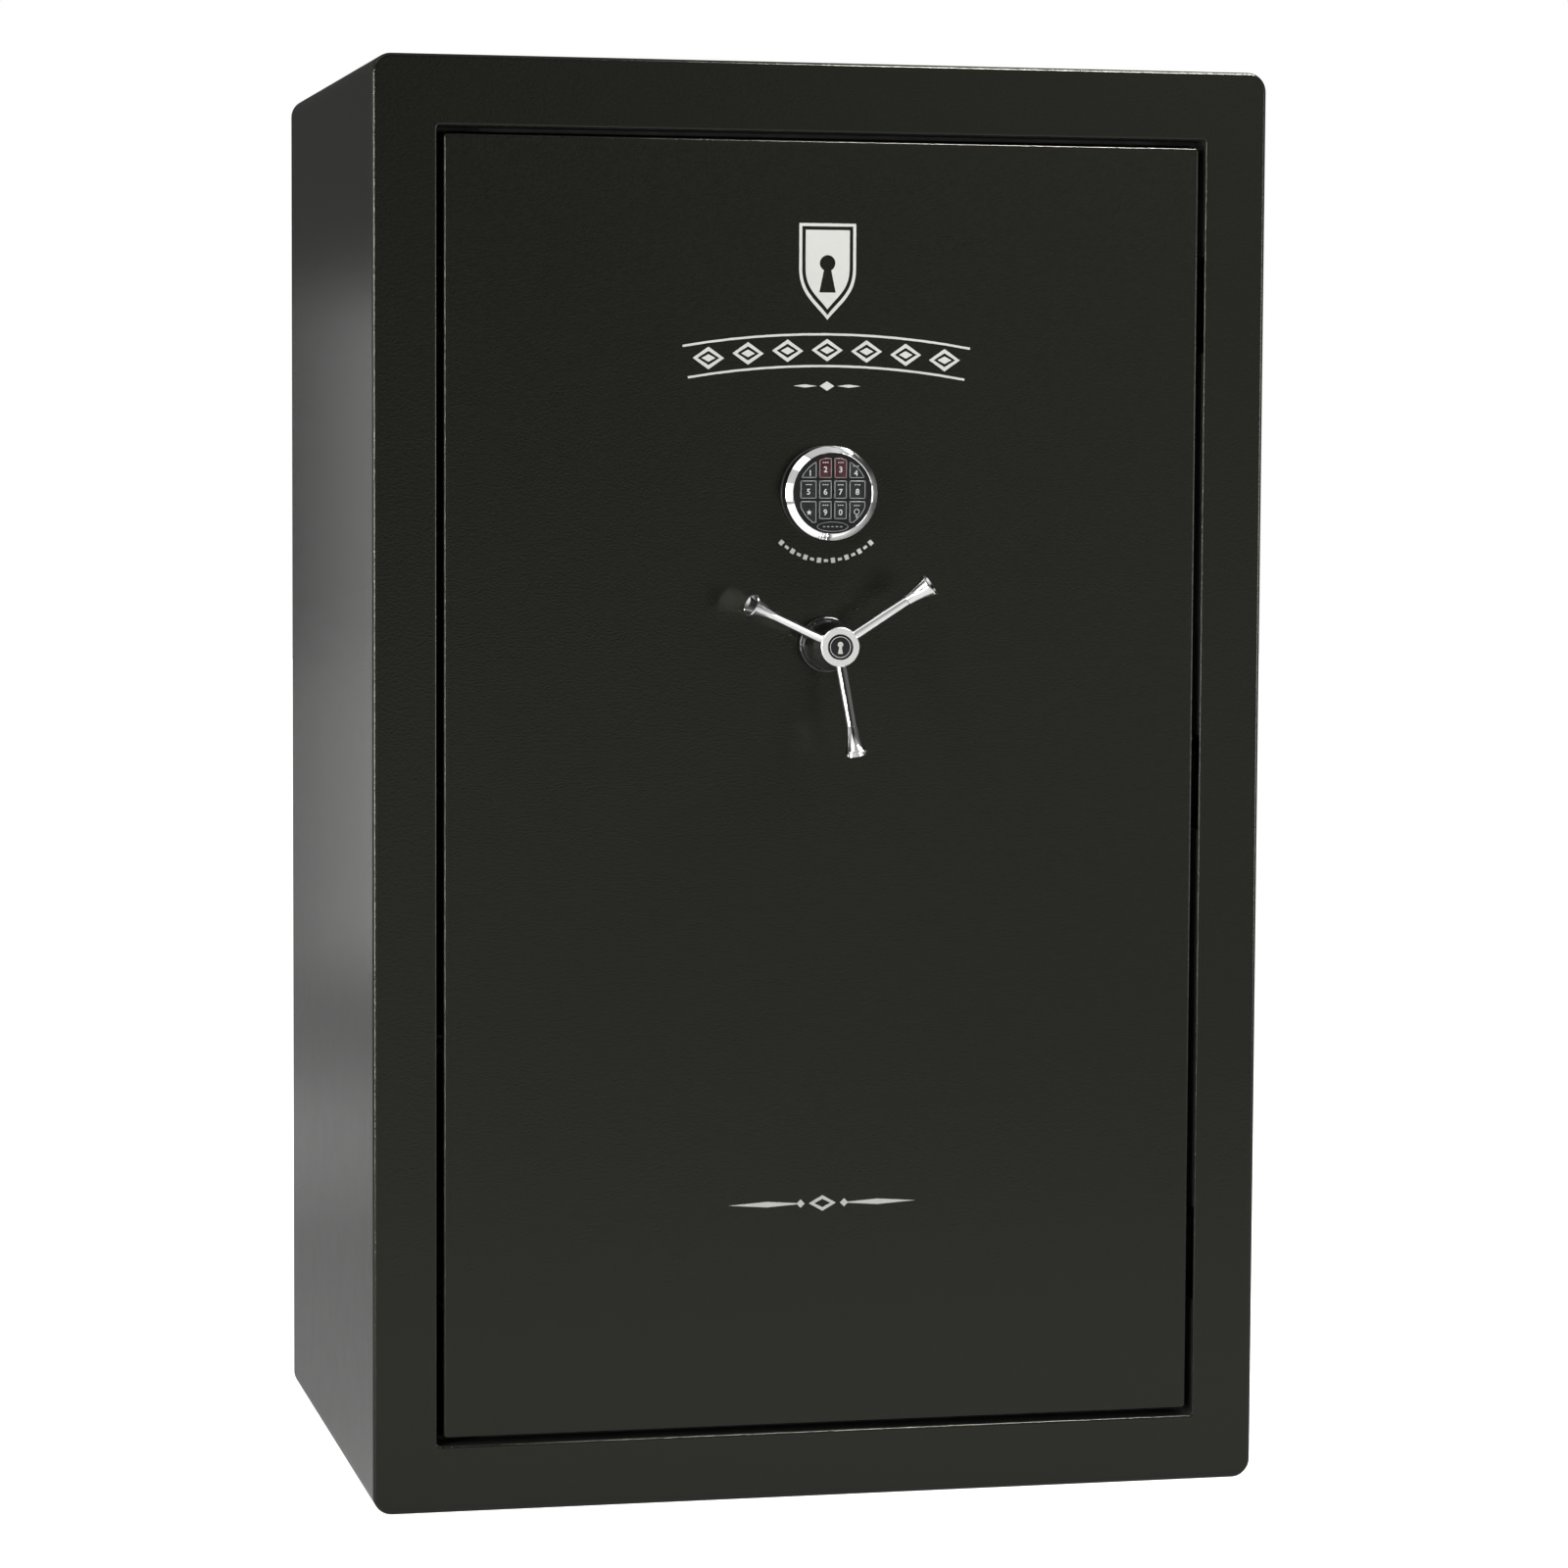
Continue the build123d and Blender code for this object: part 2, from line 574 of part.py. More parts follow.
with BuildPart() as lock_case:
    block(LOCK_X, (HARD_BACK, HARD_BACK + LOCK_DEPTH), LOCK_Z)
    fillet(lock_case.edges().filter_by(Axis.Y), 5)
    fillet(lock_case.faces().sort_by(Axis.Y)[-1].edges(), 1.5)
    block(
        (LOCK_BOLT_X[0] - 0.3, LOCK_BOLT_X[1] + 0.3),
        (HARD_BACK + 4.7, HARD_BACK + 23.3),
        (LOCK_Z[1] - 32, LOCK_Z[1]),
        Mode.SUBTRACT,
    )
    round_bar(0, KEYPAD_Z, (HARD_BACK, HARD_BACK + 8), 2.4, Mode.SUBTRACT)
save(lock_case, "lock_case")

with BuildPart() as lock_bolt:
    block(LOCK_BOLT_X, (HARD_BACK + 5, HARD_BACK + 23), (LOCK_Z[1] - 24, LOCK_Z[1] + 1))
    fillet(lock_bolt.faces().sort_by(Axis.Z)[-1].edges().filter_by(Axis.Y), 1.5)
save(lock_bolt, "lock_bolt")

with BuildPart() as lock_cable:
    round_bar(0, KEYPAD_Z, (-4, HARD_BACK + 7), 2)
save(lock_cable, "lock_cable")

# =========================== keypad ========================================================

BASE_BACK = DOOR_SET
BASE_FRONT = -4.5

with BuildPart() as keypad_base:
    round_bar(0, KEYPAD_Z, (BASE_FRONT, BASE_BACK), KEYPAD_R + 0.4)
    fillet(keypad_base.faces().sort_by(Axis.Y)[0].edges(), 2)
    round_bar(0, KEYPAD_Z, (BASE_FRONT - 1, BASE_BACK), 5, Mode.SUBTRACT)
save(keypad_base, "keypad_base")

with BuildPart() as keypad_bezel:
    face_back = FACE_DEPTH + FACE_T
    bevel_back = KEYPAD_FRONT + KEYPAD_BEVEL
    keypad_plane = Plane(origin=(0, FRONT, KEYPAD_Z), x_dir=(1, 0, 0), z_dir=(0, 0, 1))
    with BuildSketch(keypad_plane):
        with BuildLine():
            Line((KEYPAD_BORE - 3, BASE_FRONT), (KEYPAD_R, BASE_FRONT))
            Line((KEYPAD_R, BASE_FRONT), (KEYPAD_R, bevel_back))
            bevel_end = (KEYPAD_BORE + 0.6, KEYPAD_FRONT)
            middle = ((KEYPAD_R + bevel_end[0]) / 2 + 0.1, (bevel_back + KEYPAD_FRONT) / 2 - 0.1)
            ThreePointArc((KEYPAD_R, bevel_back), middle, bevel_end)
            Line(bevel_end, (KEYPAD_BORE, KEYPAD_FRONT + 0.6))
            Line((KEYPAD_BORE, KEYPAD_FRONT + 0.6), (KEYPAD_BORE, face_back))
            Line((KEYPAD_BORE, face_back), (KEYPAD_BORE - 3, face_back))
            Line((KEYPAD_BORE - 3, face_back), (KEYPAD_BORE - 3, BASE_FRONT))
        make_face()
    revolve(axis=Axis((0, FRONT, KEYPAD_Z), (0, 1, 0)))
save(keypad_bezel, "keypad_bezel")

COLUMNS = ((-35.6, -17.7), (-15.2, -1.3), (1.3, 15.2), (17.7, 35.6))
ROWS = ((15.8, 37.5), (-6.0, 13.6), (-27.6, -8.2))
KEY_NAMES = (
    ("key_1", "key_2", "key_3", "key_4"),
    ("key_5", "key_6", "key_7", "key_8"),
    ("key_star", "key_9", "key_0", "key_clear"),
)


def key_outline(column, row, grow=0.0, depth=0.0):
    """A key's outline: its cell of the grid, trimmed by the keys' circle, on the plane at that depth."""
    x_mid, x_len = span(*COLUMNS[column])
    low = ROWS[row][0] - (4.0 if row == 2 and column in (0, 3) else 0.0)
    z_mid, z_len = span(low, ROWS[row][1])
    with BuildSketch(face_plane(depth)) as outline:
        with Locations((x_mid, KEYPAD_Z + z_mid)):
            Rectangle(x_len, z_len)
        with Locations((0, KEYPAD_Z)):
            Circle(KEY_R, mode=Mode.INTERSECT)
        fillet(outline.vertices(), 1.3)
        if grow:
            offset(amount=grow)
    return outline.sketch


with BuildPart() as keypad_face:
    round_bar(0, KEYPAD_Z, (FACE_DEPTH, FACE_DEPTH + FACE_T), KEYPAD_BORE - 0.1)
    for row in range(3):
        for column in range(4):
            extrude(key_outline(column, row, 0.3, FACE_DEPTH), amount=-KEY_POCKET, mode=Mode.SUBTRACT)
save(keypad_face, "keypad_face")

for row, names in enumerate(KEY_NAMES):
    for column, name in enumerate(names):
        with BuildPart() as key:
            extrude(key_outline(column, row, 0, FACE_DEPTH - KEY_PROUD), amount=-KEY_T)
            fillet(key.faces().sort_by(Axis.Y)[0].edges(), 0.5)
        save(key, name)

with BuildPart() as keypad_batteries:
    for x in (-17.0, 17.0):
        middle = (FACE_DEPTH + FACE_T + BASE_FRONT) / 2
        block((x - 13, x + 13), (middle - 8.5, middle + 8.5), (KEYPAD_Z - 24, KEYPAD_Z + 24))
    fillet(keypad_batteries.edges().filter_by(Axis.Z), 1.5)
save(keypad_batteries, "keypad_batteries")

# =========================== graphics on the door ==========================================

INK_T = 0.25
SHIELD_W = 62.0
SHIELD_TOP = 1368.0
SHIELD_BOTTOM = 1266.0
ARCH_Z = 1252.0
ARCH_R = 900.0
ARCH_HALF = 158.0
ARCH_BAND = 36.0
LINE_W = 2.4


def shield(inset):
    """A plain heater shield, drawn inwards by inset."""
    half = SHIELD_W / 2 - inset
    top, low = SHIELD_TOP - inset, SHIELD_BOTTOM + 1.6 * inset
    shoulder = SHIELD_TOP - 48
    with BuildSketch(face_plane(DOOR_SET)) as drawn:
        with BuildLine():
            Line((-half, top), (half, top))
            Line((half, top), (half, shoulder))
            Spline((half, shoulder), (0, low), tangents=((0, -1), (-0.75, -1)))
            Spline((0, low), (-half, shoulder), tangents=((-0.75, 1), (0, 1)))
            Line((-half, shoulder), (-half, top))
        make_face()
    return drawn.sketch


def arch_sector(outer, inner, half_angle, middle=0.0):
    """A piece of the arched band, between two radii about the arch's centre."""
    centre = ARCH_Z - ARCH_R
    with BuildSketch(face_plane(DOOR_SET)) as drawn:
        with BuildLine():
            a, b = 90 + middle + half_angle, 90 + middle - half_angle
            outer_arc = CenterArc((0, centre), outer, a, b - a)
            inner_arc = CenterArc((0, centre), inner, a, b - a)
            Line(outer_arc @ 0, inner_arc @ 0)
            Line(outer_arc @ 1, inner_arc @ 1)
        make_face()
    return drawn.sketch


def diamond(x, z, width, height):
    """A lozenge."""
    with BuildSketch(face_plane(DOOR_SET)) as drawn:
        with BuildLine():
            Polyline(
                (x - width / 2, z),
                (x, z + height / 2),
                (x + width / 2, z),
                (x, z - height / 2),
                close=True,
            )
        make_face()
    return drawn.sketch


with BuildPart() as door_graphics:
    # shield with a keyhole
    extrude(shield(0), amount=INK_T)
    extrude(shield(3.2), amount=INK_T, mode=Mode.SUBTRACT)
    extrude(shield(7), amount=INK_T)
    keyhole_z = SHIELD_TOP - 42
    with BuildSketch(face_plane(DOOR_SET)):
        with Locations((0, keyhole_z)):
            Circle(8.5)
        with Locations((0, keyhole_z - 18)):
            Trapezoid(18, 26, 78)
    extrude(amount=INK_T, mode=Mode.SUBTRACT)
    # arched band of lozenges between two pinstripes
    span_angle = ARCH_HALF / ARCH_R * 180 / pi
    extrude(arch_sector(ARCH_R, ARCH_R - LINE_W, span_angle), amount=INK_T)
    extrude(arch_sector(ARCH_R - ARCH_BAND + LINE_W, ARCH_R - ARCH_BAND, span_angle), amount=INK_T)
    for step in range(-3, 4):
        angle = step * 44 / ARCH_R
        radius = ARCH_R - ARCH_BAND / 2
        x, z = radius * sin(angle), ARCH_Z - ARCH_R + radius * cos(angle)
        extrude(diamond(x, z, 34, 24), amount=INK_T)
        extrude(diamond(x, z, 24, 15), amount=INK_T, mode=Mode.SUBTRACT)
        extrude(diamond(x, z, 15, 8), amount=INK_T)
    # short rule under the arch
    extrude(diamond(0, 1196, 16, 10), amount=INK_T)
    for side in (-1, 1):
        extrude(diamond(side * 24, 1196, 26, 3.4), amount=INK_T)
    # dashes in an arc under the keypad
    for step in range(-7, 8):
        angle = radians(270 + step * 6.1)
        with BuildSketch(face_plane(DOOR_SET)):
            place = Location((72 * cos(angle), KEYPAD_Z + 72 * sin(angle), 0), (0, 0, step * 6.1))
            with Locations(place):
                Rectangle(4.6, 5.4 if step % 2 else 3.0)
        extrude(amount=INK_T)
    # rule across the lower part of the door
    extrude(diamond(0, 319.5, 30, 17), amount=INK_T)
    extrude(diamond(0, 319.5, 18, 9), amount=INK_T, mode=Mode.SUBTRACT)
    for side in (-1, 1):
        extrude(diamond(side * 61, 319.5, 84, 6), amount=INK_T)
        extrude(diamond(side * 24, 319.5, 9, 9), amount=INK_T)
save(door_graphics, "door_graphics")

# =========================== lining ========================================================

BOARD_X = WIDTH / 2 - CORNER_R  # boards stay on the flat of the floor and the roof
SIDE_BOARD_Z = (CORNER_R, HEIGHT - CORNER_R)


def anchor_clearance(radius, low, high):
    """Cuts the four anchor holes through a floor layer."""
    with BuildSketch(Plane.XY.offset(low)) as holes:
        with GridLocations(ANCHOR_X, ANCHOR_Y, 2, 2):
            Circle(radius)
    extrude(holes.sketch, amount=high - low, mode=Mode.SUBTRACT)


with BuildPart() as fireboard_sides:
    block((-WALL_X, -WALL_X + FIREBOARD_T), (LINING_FRONT, LINER_BACK), SIDE_BOARD_Z)
    block((WALL_X - FIREBOARD_T, WALL_X), (LINING_FRONT, LINER_BACK), SIDE_BOARD_Z)
save(fireboard_sides, "fireboard_sides")

with BuildPart() as fireboard_top:
    block((-BOARD_X, BOARD_X), (LINING_FRONT, LINER_BACK), (HEIGHT - STEEL - FIREBOARD_T, HEIGHT - STEEL))
save(fireboard_top, "fireboard_top")

with BuildPart() as fireboard_floor:
    block((-BOARD_X, BOARD_X), (LINING_FRONT, LINER_BACK), (STEEL, STEEL + FIREBOARD_T))
    anchor_clearance(ANCHOR_R + 3, STEEL, STEEL + FIREBOARD_T)
save(fireboard_floor, "fireboard_floor")

with BuildPart() as fireboard_back:
    block((-LINER_X, LINER_X), (BACK_FRONT - FIREBOARD_T, BACK_FRONT), SIDE_BOARD_Z)
save(fireboard_back, "fireboard_back")

LINER_LOW = STEEL + FIREBOARD_T
LINER_HIGH = HEIGHT - LINER_LOW

with BuildPart() as liner_sides:
    block((-LINER_X - LINER_T, -LINER_X), (LINING_FRONT, LINER_BACK), (FLOOR_Z, CEILING_Z))
    block((LINER_X, LINER_X + LINER_T), (LINING_FRONT, LINER_BACK), (FLOOR_Z, CEILING_Z))
save(liner_sides, "liner_sides")

with BuildPart() as liner_ceiling:
    block((-LINER_X - LINER_T, LINER_X + LINER_T), (LINING_FRONT, LINER_BACK), (CEILING_Z, LINER_HIGH))
save(liner_ceiling, "liner_ceiling")

with BuildPart() as liner_floor:
    block((-LINER_X - LINER_T, LINER_X + LINER_T), (LINING_FRONT, LINER_BACK), (LINER_LOW, FLOOR_Z))
    anchor_clearance(ANCHOR_R + 2, LINER_LOW, FLOOR_Z)
save(liner_floor, "liner_floor")

with BuildPart() as liner_back:
    block((-LINER_X, LINER_X), (LINER_BACK, LINER_BACK + LINER_T), (FLOOR_Z, CEILING_Z))
save(liner_back, "liner_back")

# =========================== interior ======================================================

PARTITION_X = 8.0
SOFT_R = 3.0
FIT = 0.5
SHELF_X = (PARTITION_X + FIT, LINER_X - FIT)
SHELF_DEPTHS = (SHELF_FRONT, LINER_BACK - FIT)

with BuildPart() as centre_partition:
    block((-PARTITION_X, PARTITION_X), SHELF_DEPTHS, (FLOOR_Z, TOP_SHELF_Z))
    fillet(centre_partition.faces().sort_by(Axis.Y)[0].edges().filter_by(Axis.Z), SOFT_R)
save(centre_partition, "centre_partition")

with BuildPart() as top_shelf:
    block((-LINER_X + FIT, LINER_X - FIT), SHELF_DEPTHS, (TOP_SHELF_Z, TOP_SHELF_Z + SHELF_T))
    fillet(top_shelf.faces().sort_by(Axis.Y)[0].edges().filter_by(Axis.X), SOFT_R)
save(top_shelf, "top_shelf")

with BuildPart() as side_shelves:
    for z in SHELF_Z:
        block(SHELF_X, SHELF_DEPTHS, (z, z + SHELF_T))
    fillet(side_shelves.faces().filter_by(Axis.Y).group_by(Axis.Y)[0].edges().filter_by(Axis.X), SOFT_R)
save(side_shelves, "side_shelves")

CLIP_DEPTHS = (SHELF_FRONT + 60, LINER_BACK - 80)

with BuildPart() as shelf_clips:
    for z in SHELF_Z + (TOP_SHELF_Z,):
        sides = [(LINER_X - 10, LINER_X)]
        sides.append((-LINER_X, -LINER_X + 10) if z == TOP_SHELF_Z else (PARTITION_X, PARTITION_X + 10))
        for side in sides:
            for depth in CLIP_DEPTHS:
                block(side, (depth, depth + 20), (z - 12, z))
save(shelf_clips, "shelf_clips")

RACK_X = (-LINER_X + FIT, -PARTITION_X - FIT)
NOTCH_R = 18.0
NOTCHES = 6
RACK_DEPTHS = (LINER_BACK - 95, LINER_BACK - FIT)


def rack_notches(low, high):
    """Cuts a row of round-bottomed notches into the front of a rack."""
    pitch = (RACK_X[1] - RACK_X[0]) / NOTCHES
    front = FRONT + RACK_DEPTHS[0]
    with BuildSketch(Plane.XY.offset(low)) as notches:
        for step in range(NOTCHES):
            x = RACK_X[0] + pitch * (step + 0.5)
            with Locations((x, front + 30)):
                Circle(NOTCH_R)
            with Locations((x, front + 15)):
                Rectangle(2 * NOTCH_R, 30)
    extrude(notches.sketch, amount=high - low, mode=Mode.SUBTRACT)


with BuildPart() as barrel_rack:
    block(RACK_X, RACK_DEPTHS, (1040, 1080))
    rack_notches(1040, 1080)
save(barrel_rack, "barrel_rack")
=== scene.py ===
"""Looks of the gun safe: materials, the keypad's print, the fabric organiser, camera and light."""

import json
from math import cos, pi, radians, sin

import bmesh
import bpy
from mathutils import Euler, Matrix, Vector


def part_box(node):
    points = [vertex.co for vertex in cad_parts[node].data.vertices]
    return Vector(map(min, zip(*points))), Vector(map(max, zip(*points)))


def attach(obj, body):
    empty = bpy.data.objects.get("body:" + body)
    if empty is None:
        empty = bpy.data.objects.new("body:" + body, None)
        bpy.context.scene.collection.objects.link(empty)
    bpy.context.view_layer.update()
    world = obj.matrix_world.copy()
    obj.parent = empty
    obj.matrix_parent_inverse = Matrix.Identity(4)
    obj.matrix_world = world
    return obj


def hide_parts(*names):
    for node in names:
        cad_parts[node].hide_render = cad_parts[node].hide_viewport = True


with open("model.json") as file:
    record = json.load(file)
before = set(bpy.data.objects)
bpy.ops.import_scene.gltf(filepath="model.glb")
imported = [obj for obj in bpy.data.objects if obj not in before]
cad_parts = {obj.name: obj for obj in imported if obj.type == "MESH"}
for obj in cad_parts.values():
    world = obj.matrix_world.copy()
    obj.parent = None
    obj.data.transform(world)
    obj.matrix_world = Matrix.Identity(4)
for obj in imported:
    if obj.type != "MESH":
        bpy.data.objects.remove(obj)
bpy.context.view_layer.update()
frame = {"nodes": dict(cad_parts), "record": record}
nodes = frame["nodes"]
slot_of = {entry["node"]: entry["material_slot"] for entry in frame["record"]["subparts"]}

MM = 0.001
INK = 0.06 * MM  # thickness of printed lines
GRAIN_COLOUR = 0.8  # features of the powder coat's colour for each one of its relief
PAINT_SPECULAR = 0.24
PAINT_TINT = (1.0, 1.0, 0.86, 1.0)
NOISE_LOW, NOISE_HIGH = 0.3, 0.7  # most of a noise texture's values lie between these


# ---- node helpers ---------------------------------------------------------------------------


def new_material(name, colour, roughness, metallic=0.0):
    """A material with its Principled shader, set to plain values."""
    material = bpy.data.materials.new(name)
    material.use_nodes = True
    shader = material.node_tree.nodes["Principled BSDF"]
    shader.inputs["Base Color"].default_value = (*colour, 1)
    shader.inputs["Roughness"].default_value = roughness
    shader.inputs["Metallic"].default_value = metallic
    return material, shader


def coordinates(material, scale=(1, 1, 1)):
    """Object coordinates in metres, stretched by scale."""
    tree = material.node_tree
    source = tree.nodes.new("ShaderNodeTexCoord")
    mapping = tree.nodes.new("ShaderNodeMapping")
    mapping.inputs["Scale"].default_value = scale
    tree.links.new(source.outputs["Object"], mapping.inputs["Vector"])
    return mapping.outputs["Vector"]


def noise(material, scale, detail, stretch=(1, 1, 1)):
    """A noise value; scale is in features per metre."""
    node = material.node_tree.nodes.new("ShaderNodeTexNoise")
    node.inputs["Scale"].default_value = scale
    node.inputs["Detail"].default_value = detail
    material.node_tree.links.new(coordinates(material, stretch), node.inputs["Vector"])
    return node.outputs["Fac"]


def map_range(tree, value, low, high, from_low, from_high):
    """A node that spreads value from one range to another."""
    node = tree.nodes.new("ShaderNodeMapRange")
    ends = {"From Min": from_low, "From Max": from_high, "To Min": low, "To Max": high}
    for socket, number in ends.items():
        node.inputs[socket].default_value = number
    tree.links.new(value, node.inputs["Value"])
    return node


def math_node(tree, operation, *values):
    """The result of a Math node on one value per input."""
    node = tree.nodes.new("ShaderNodeMath")
    node.operation = operation
    for socket, value in zip(node.inputs, values):
        tree.links.new(value, socket)
    return node.outputs["Value"]


def uneven_roughness(material, shader, value, low, high):
    """Roughness runs from low to high with value."""
    spread = map_range(material.node_tree, value, low, high, NOISE_LOW, NOISE_HIGH)
    material.node_tree.links.new(spread.outputs["Result"], shader.inputs["Roughness"])


def scaled(colour, share):
    """A lighter or darker version of a colour."""
    return tuple(c * share for c in colour)


def vary_colour(material, shader, value, dark, light, from_low=NOISE_LOW, from_high=NOISE_HIGH):
    """Base colour runs from dark to light with value."""
    ramp = material.node_tree.nodes.new("ShaderNodeValToRGB")
    ramp.color_ramp.elements[0].color = (*dark, 1)
    ramp.color_ramp.elements[0].position = from_low
    ramp.color_ramp.elements[1].color = (*light, 1)
    ramp.color_ramp.elements[1].position = from_high
    material.node_tree.links.new(value, ramp.inputs["Fac"])
    material.node_tree.links.new(ramp.outputs["Color"], shader.inputs["Base Color"])


def bump(material, shader, value, strength, depth, below=None):
    """Bump of that depth in metres, on top of another bump where there is one."""
    node = material.node_tree.nodes.new("ShaderNodeBump")
    node.inputs["Strength"].default_value = strength
    node.inputs["Distance"].default_value = depth
    material.node_tree.links.new(value, node.inputs["Height"])
    if below is not None:
        material.node_tree.links.new(below, node.inputs["Normal"])
    material.node_tree.links.new(node.outputs["Normal"], shader.inputs["Normal"])
    return node.outputs["Normal"]


# ---- materials ------------------------------------------------------------------------------


def powder_coat(name, colour, roughness, grain, depth):
    """Textured powder coat: fine pebbled grain with slightly uneven roughness."""
    material, shader = new_material(name, colour, roughness)
    shader.inputs["Specular IOR Level"].default_value = PAINT_SPECULAR
    shader.inputs["Specular Tint"].default_value = PAINT_TINT
    coarse = bump(material, shader, noise(material, grain, 3.0), 0.8, depth)
    bump(material, shader, noise(material, grain * 2.6, 2.0), 0.5, depth * 0.5, coarse)
    flecks = noise(material, grain * GRAIN_COLOUR, 2.0)
    vary_colour(material, shader, flecks, scaled(colour, 0.75), scaled(colour, 1.3))
    uneven_roughness(material, shader, noise(material, 30.0, 4.0), roughness - 0.012, roughness + 0.012)
    return material


def polished(name, colour, roughness):
    """Polished metal with faint handling marks."""
    material, shader = new_material(name, colour, roughness, 1.0)
    uneven_roughness(material, shader, noise(material, 60.0, 2.0), roughness * 0.9, roughness * 1.15)
    return material


def machined(name, colour, roughness, stretch=(30, 30, 1)):
    """Metal with fine lines along one axis."""
    material, shader = new_material(name, colour, roughness, 1.0)
    lines = noise(material, 90.0, 6.0, stretch)
    bump(material, shader, lines, 0.25, 0.06 * MM)
    uneven_roughness(material, shader, lines, roughness * 0.75, roughness * 1.35)
    vary_colour(material, shader, noise(material, 35.0, 4.0), scaled(colour, 0.86), colour)
    return material


def moulded(name, colour, roughness, grain=1400.0, depth=0.05 * MM):
    """Moulded plastic or rubber with a fine spark texture."""
    material, shader = new_material(name, colour, roughness)
    bump(material, shader, noise(material, grain, 3.0), 0.3, depth)
    uneven_roughness(material, shader, noise(material, 25.0, 4.0), roughness * 0.85, roughness * 1.2)
    vary_colour(material, shader, noise(material, 60.0, 3.0), colour, scaled(colour, 1.25))
    return material


def carpet(name, dark, light):
    """Short needle-punched carpet: matted fibres with light and dark flecks."""
    material, shader = new_material(name, light, 0.95)
    shader.inputs["Sheen Weight"].default_value = 0.15
    shader.inputs["Sheen Roughness"].default_value = 0.6
    fibres = noise(material, 900.0, 6.0)
    matted = bump(material, shader, noise(material, 160.0, 5.0), 0.5, 1.2 * MM)
    bump(material, shader, fibres, 0.9, 0.9 * MM, matted)
    vary_colour(material, shader, fibres, dark, light, 0.35, 0.65)
    return material


def woven(name, dark, light, threads=900.0):
    """Plain woven cloth: crossed threads in relief."""
    material, shader = new_material(name, light, 0.85)
    shader.inputs["Sheen Weight"].default_value = 0.06
    tree = material.node_tree
    weaves = []
    for direction in ("X", "Z"):
        wave = tree.nodes.new("ShaderNodeTexWave")
        wave.wave_type = "BANDS"
        wave.bands_direction = direction
        wave.inputs["Scale"].default_value = threads / 2.0
        wave.inputs["Distortion"].default_value = 1.5
        tree.links.new(coordinates(material), wave.inputs["Vector"])
        weaves.append(wave.outputs["Fac"])
    crossed = math_node(tree, "MULTIPLY", *weaves)
    bump(material, shader, crossed, 0.7, 0.4 * MM)
    vary_colour(material, shader, crossed, dark, light, 0.1, 0.8)
    return material


def gypsum(name):
    """Paper-faced fireboard."""
    material, shader = new_material(name, (0.62, 0.59, 0.53), 0.9)
    vary_colour(material, shader, noise(material, 40.0, 8.0), (0.55, 0.52, 0.47), (0.66, 0.63, 0.57))
    bump(material, shader, noise(material, 500.0, 4.0), 0.3, 0.2 * MM)
    return material


def gloss(name, colour, roughness=0.06):
    """Glossy moulded face with a clear skin."""
    material, shader = new_material(name, colour, roughness)
    shader.inputs["Specular IOR Level"].default_value = 0.3
    shader.inputs["Coat Weight"].default_value = 0.25
    shader.inputs["Coat Roughness"].default_value = 0.03
    vary_colour(material, shader, noise(material, 30.0, 3.0), colour, scaled(colour, 1.4))
    uneven_roughness(material, shader, noise(material, 70.0, 5.0), roughness * 0.6, roughness * 2.0)
    return material


def print_ink(name, colour, roughness):
    """Screen-printed ink: nearly flat, with a slightly uneven cover."""
    material, shader = new_material(name, colour, roughness)
    vary_colour(material, shader, noise(material, 900.0, 3.0), scaled(colour, 0.9), colour)
    bump(material, shader, noise(material, 1200.0, 2.0), 0.2, 0.03 * MM)
    return material


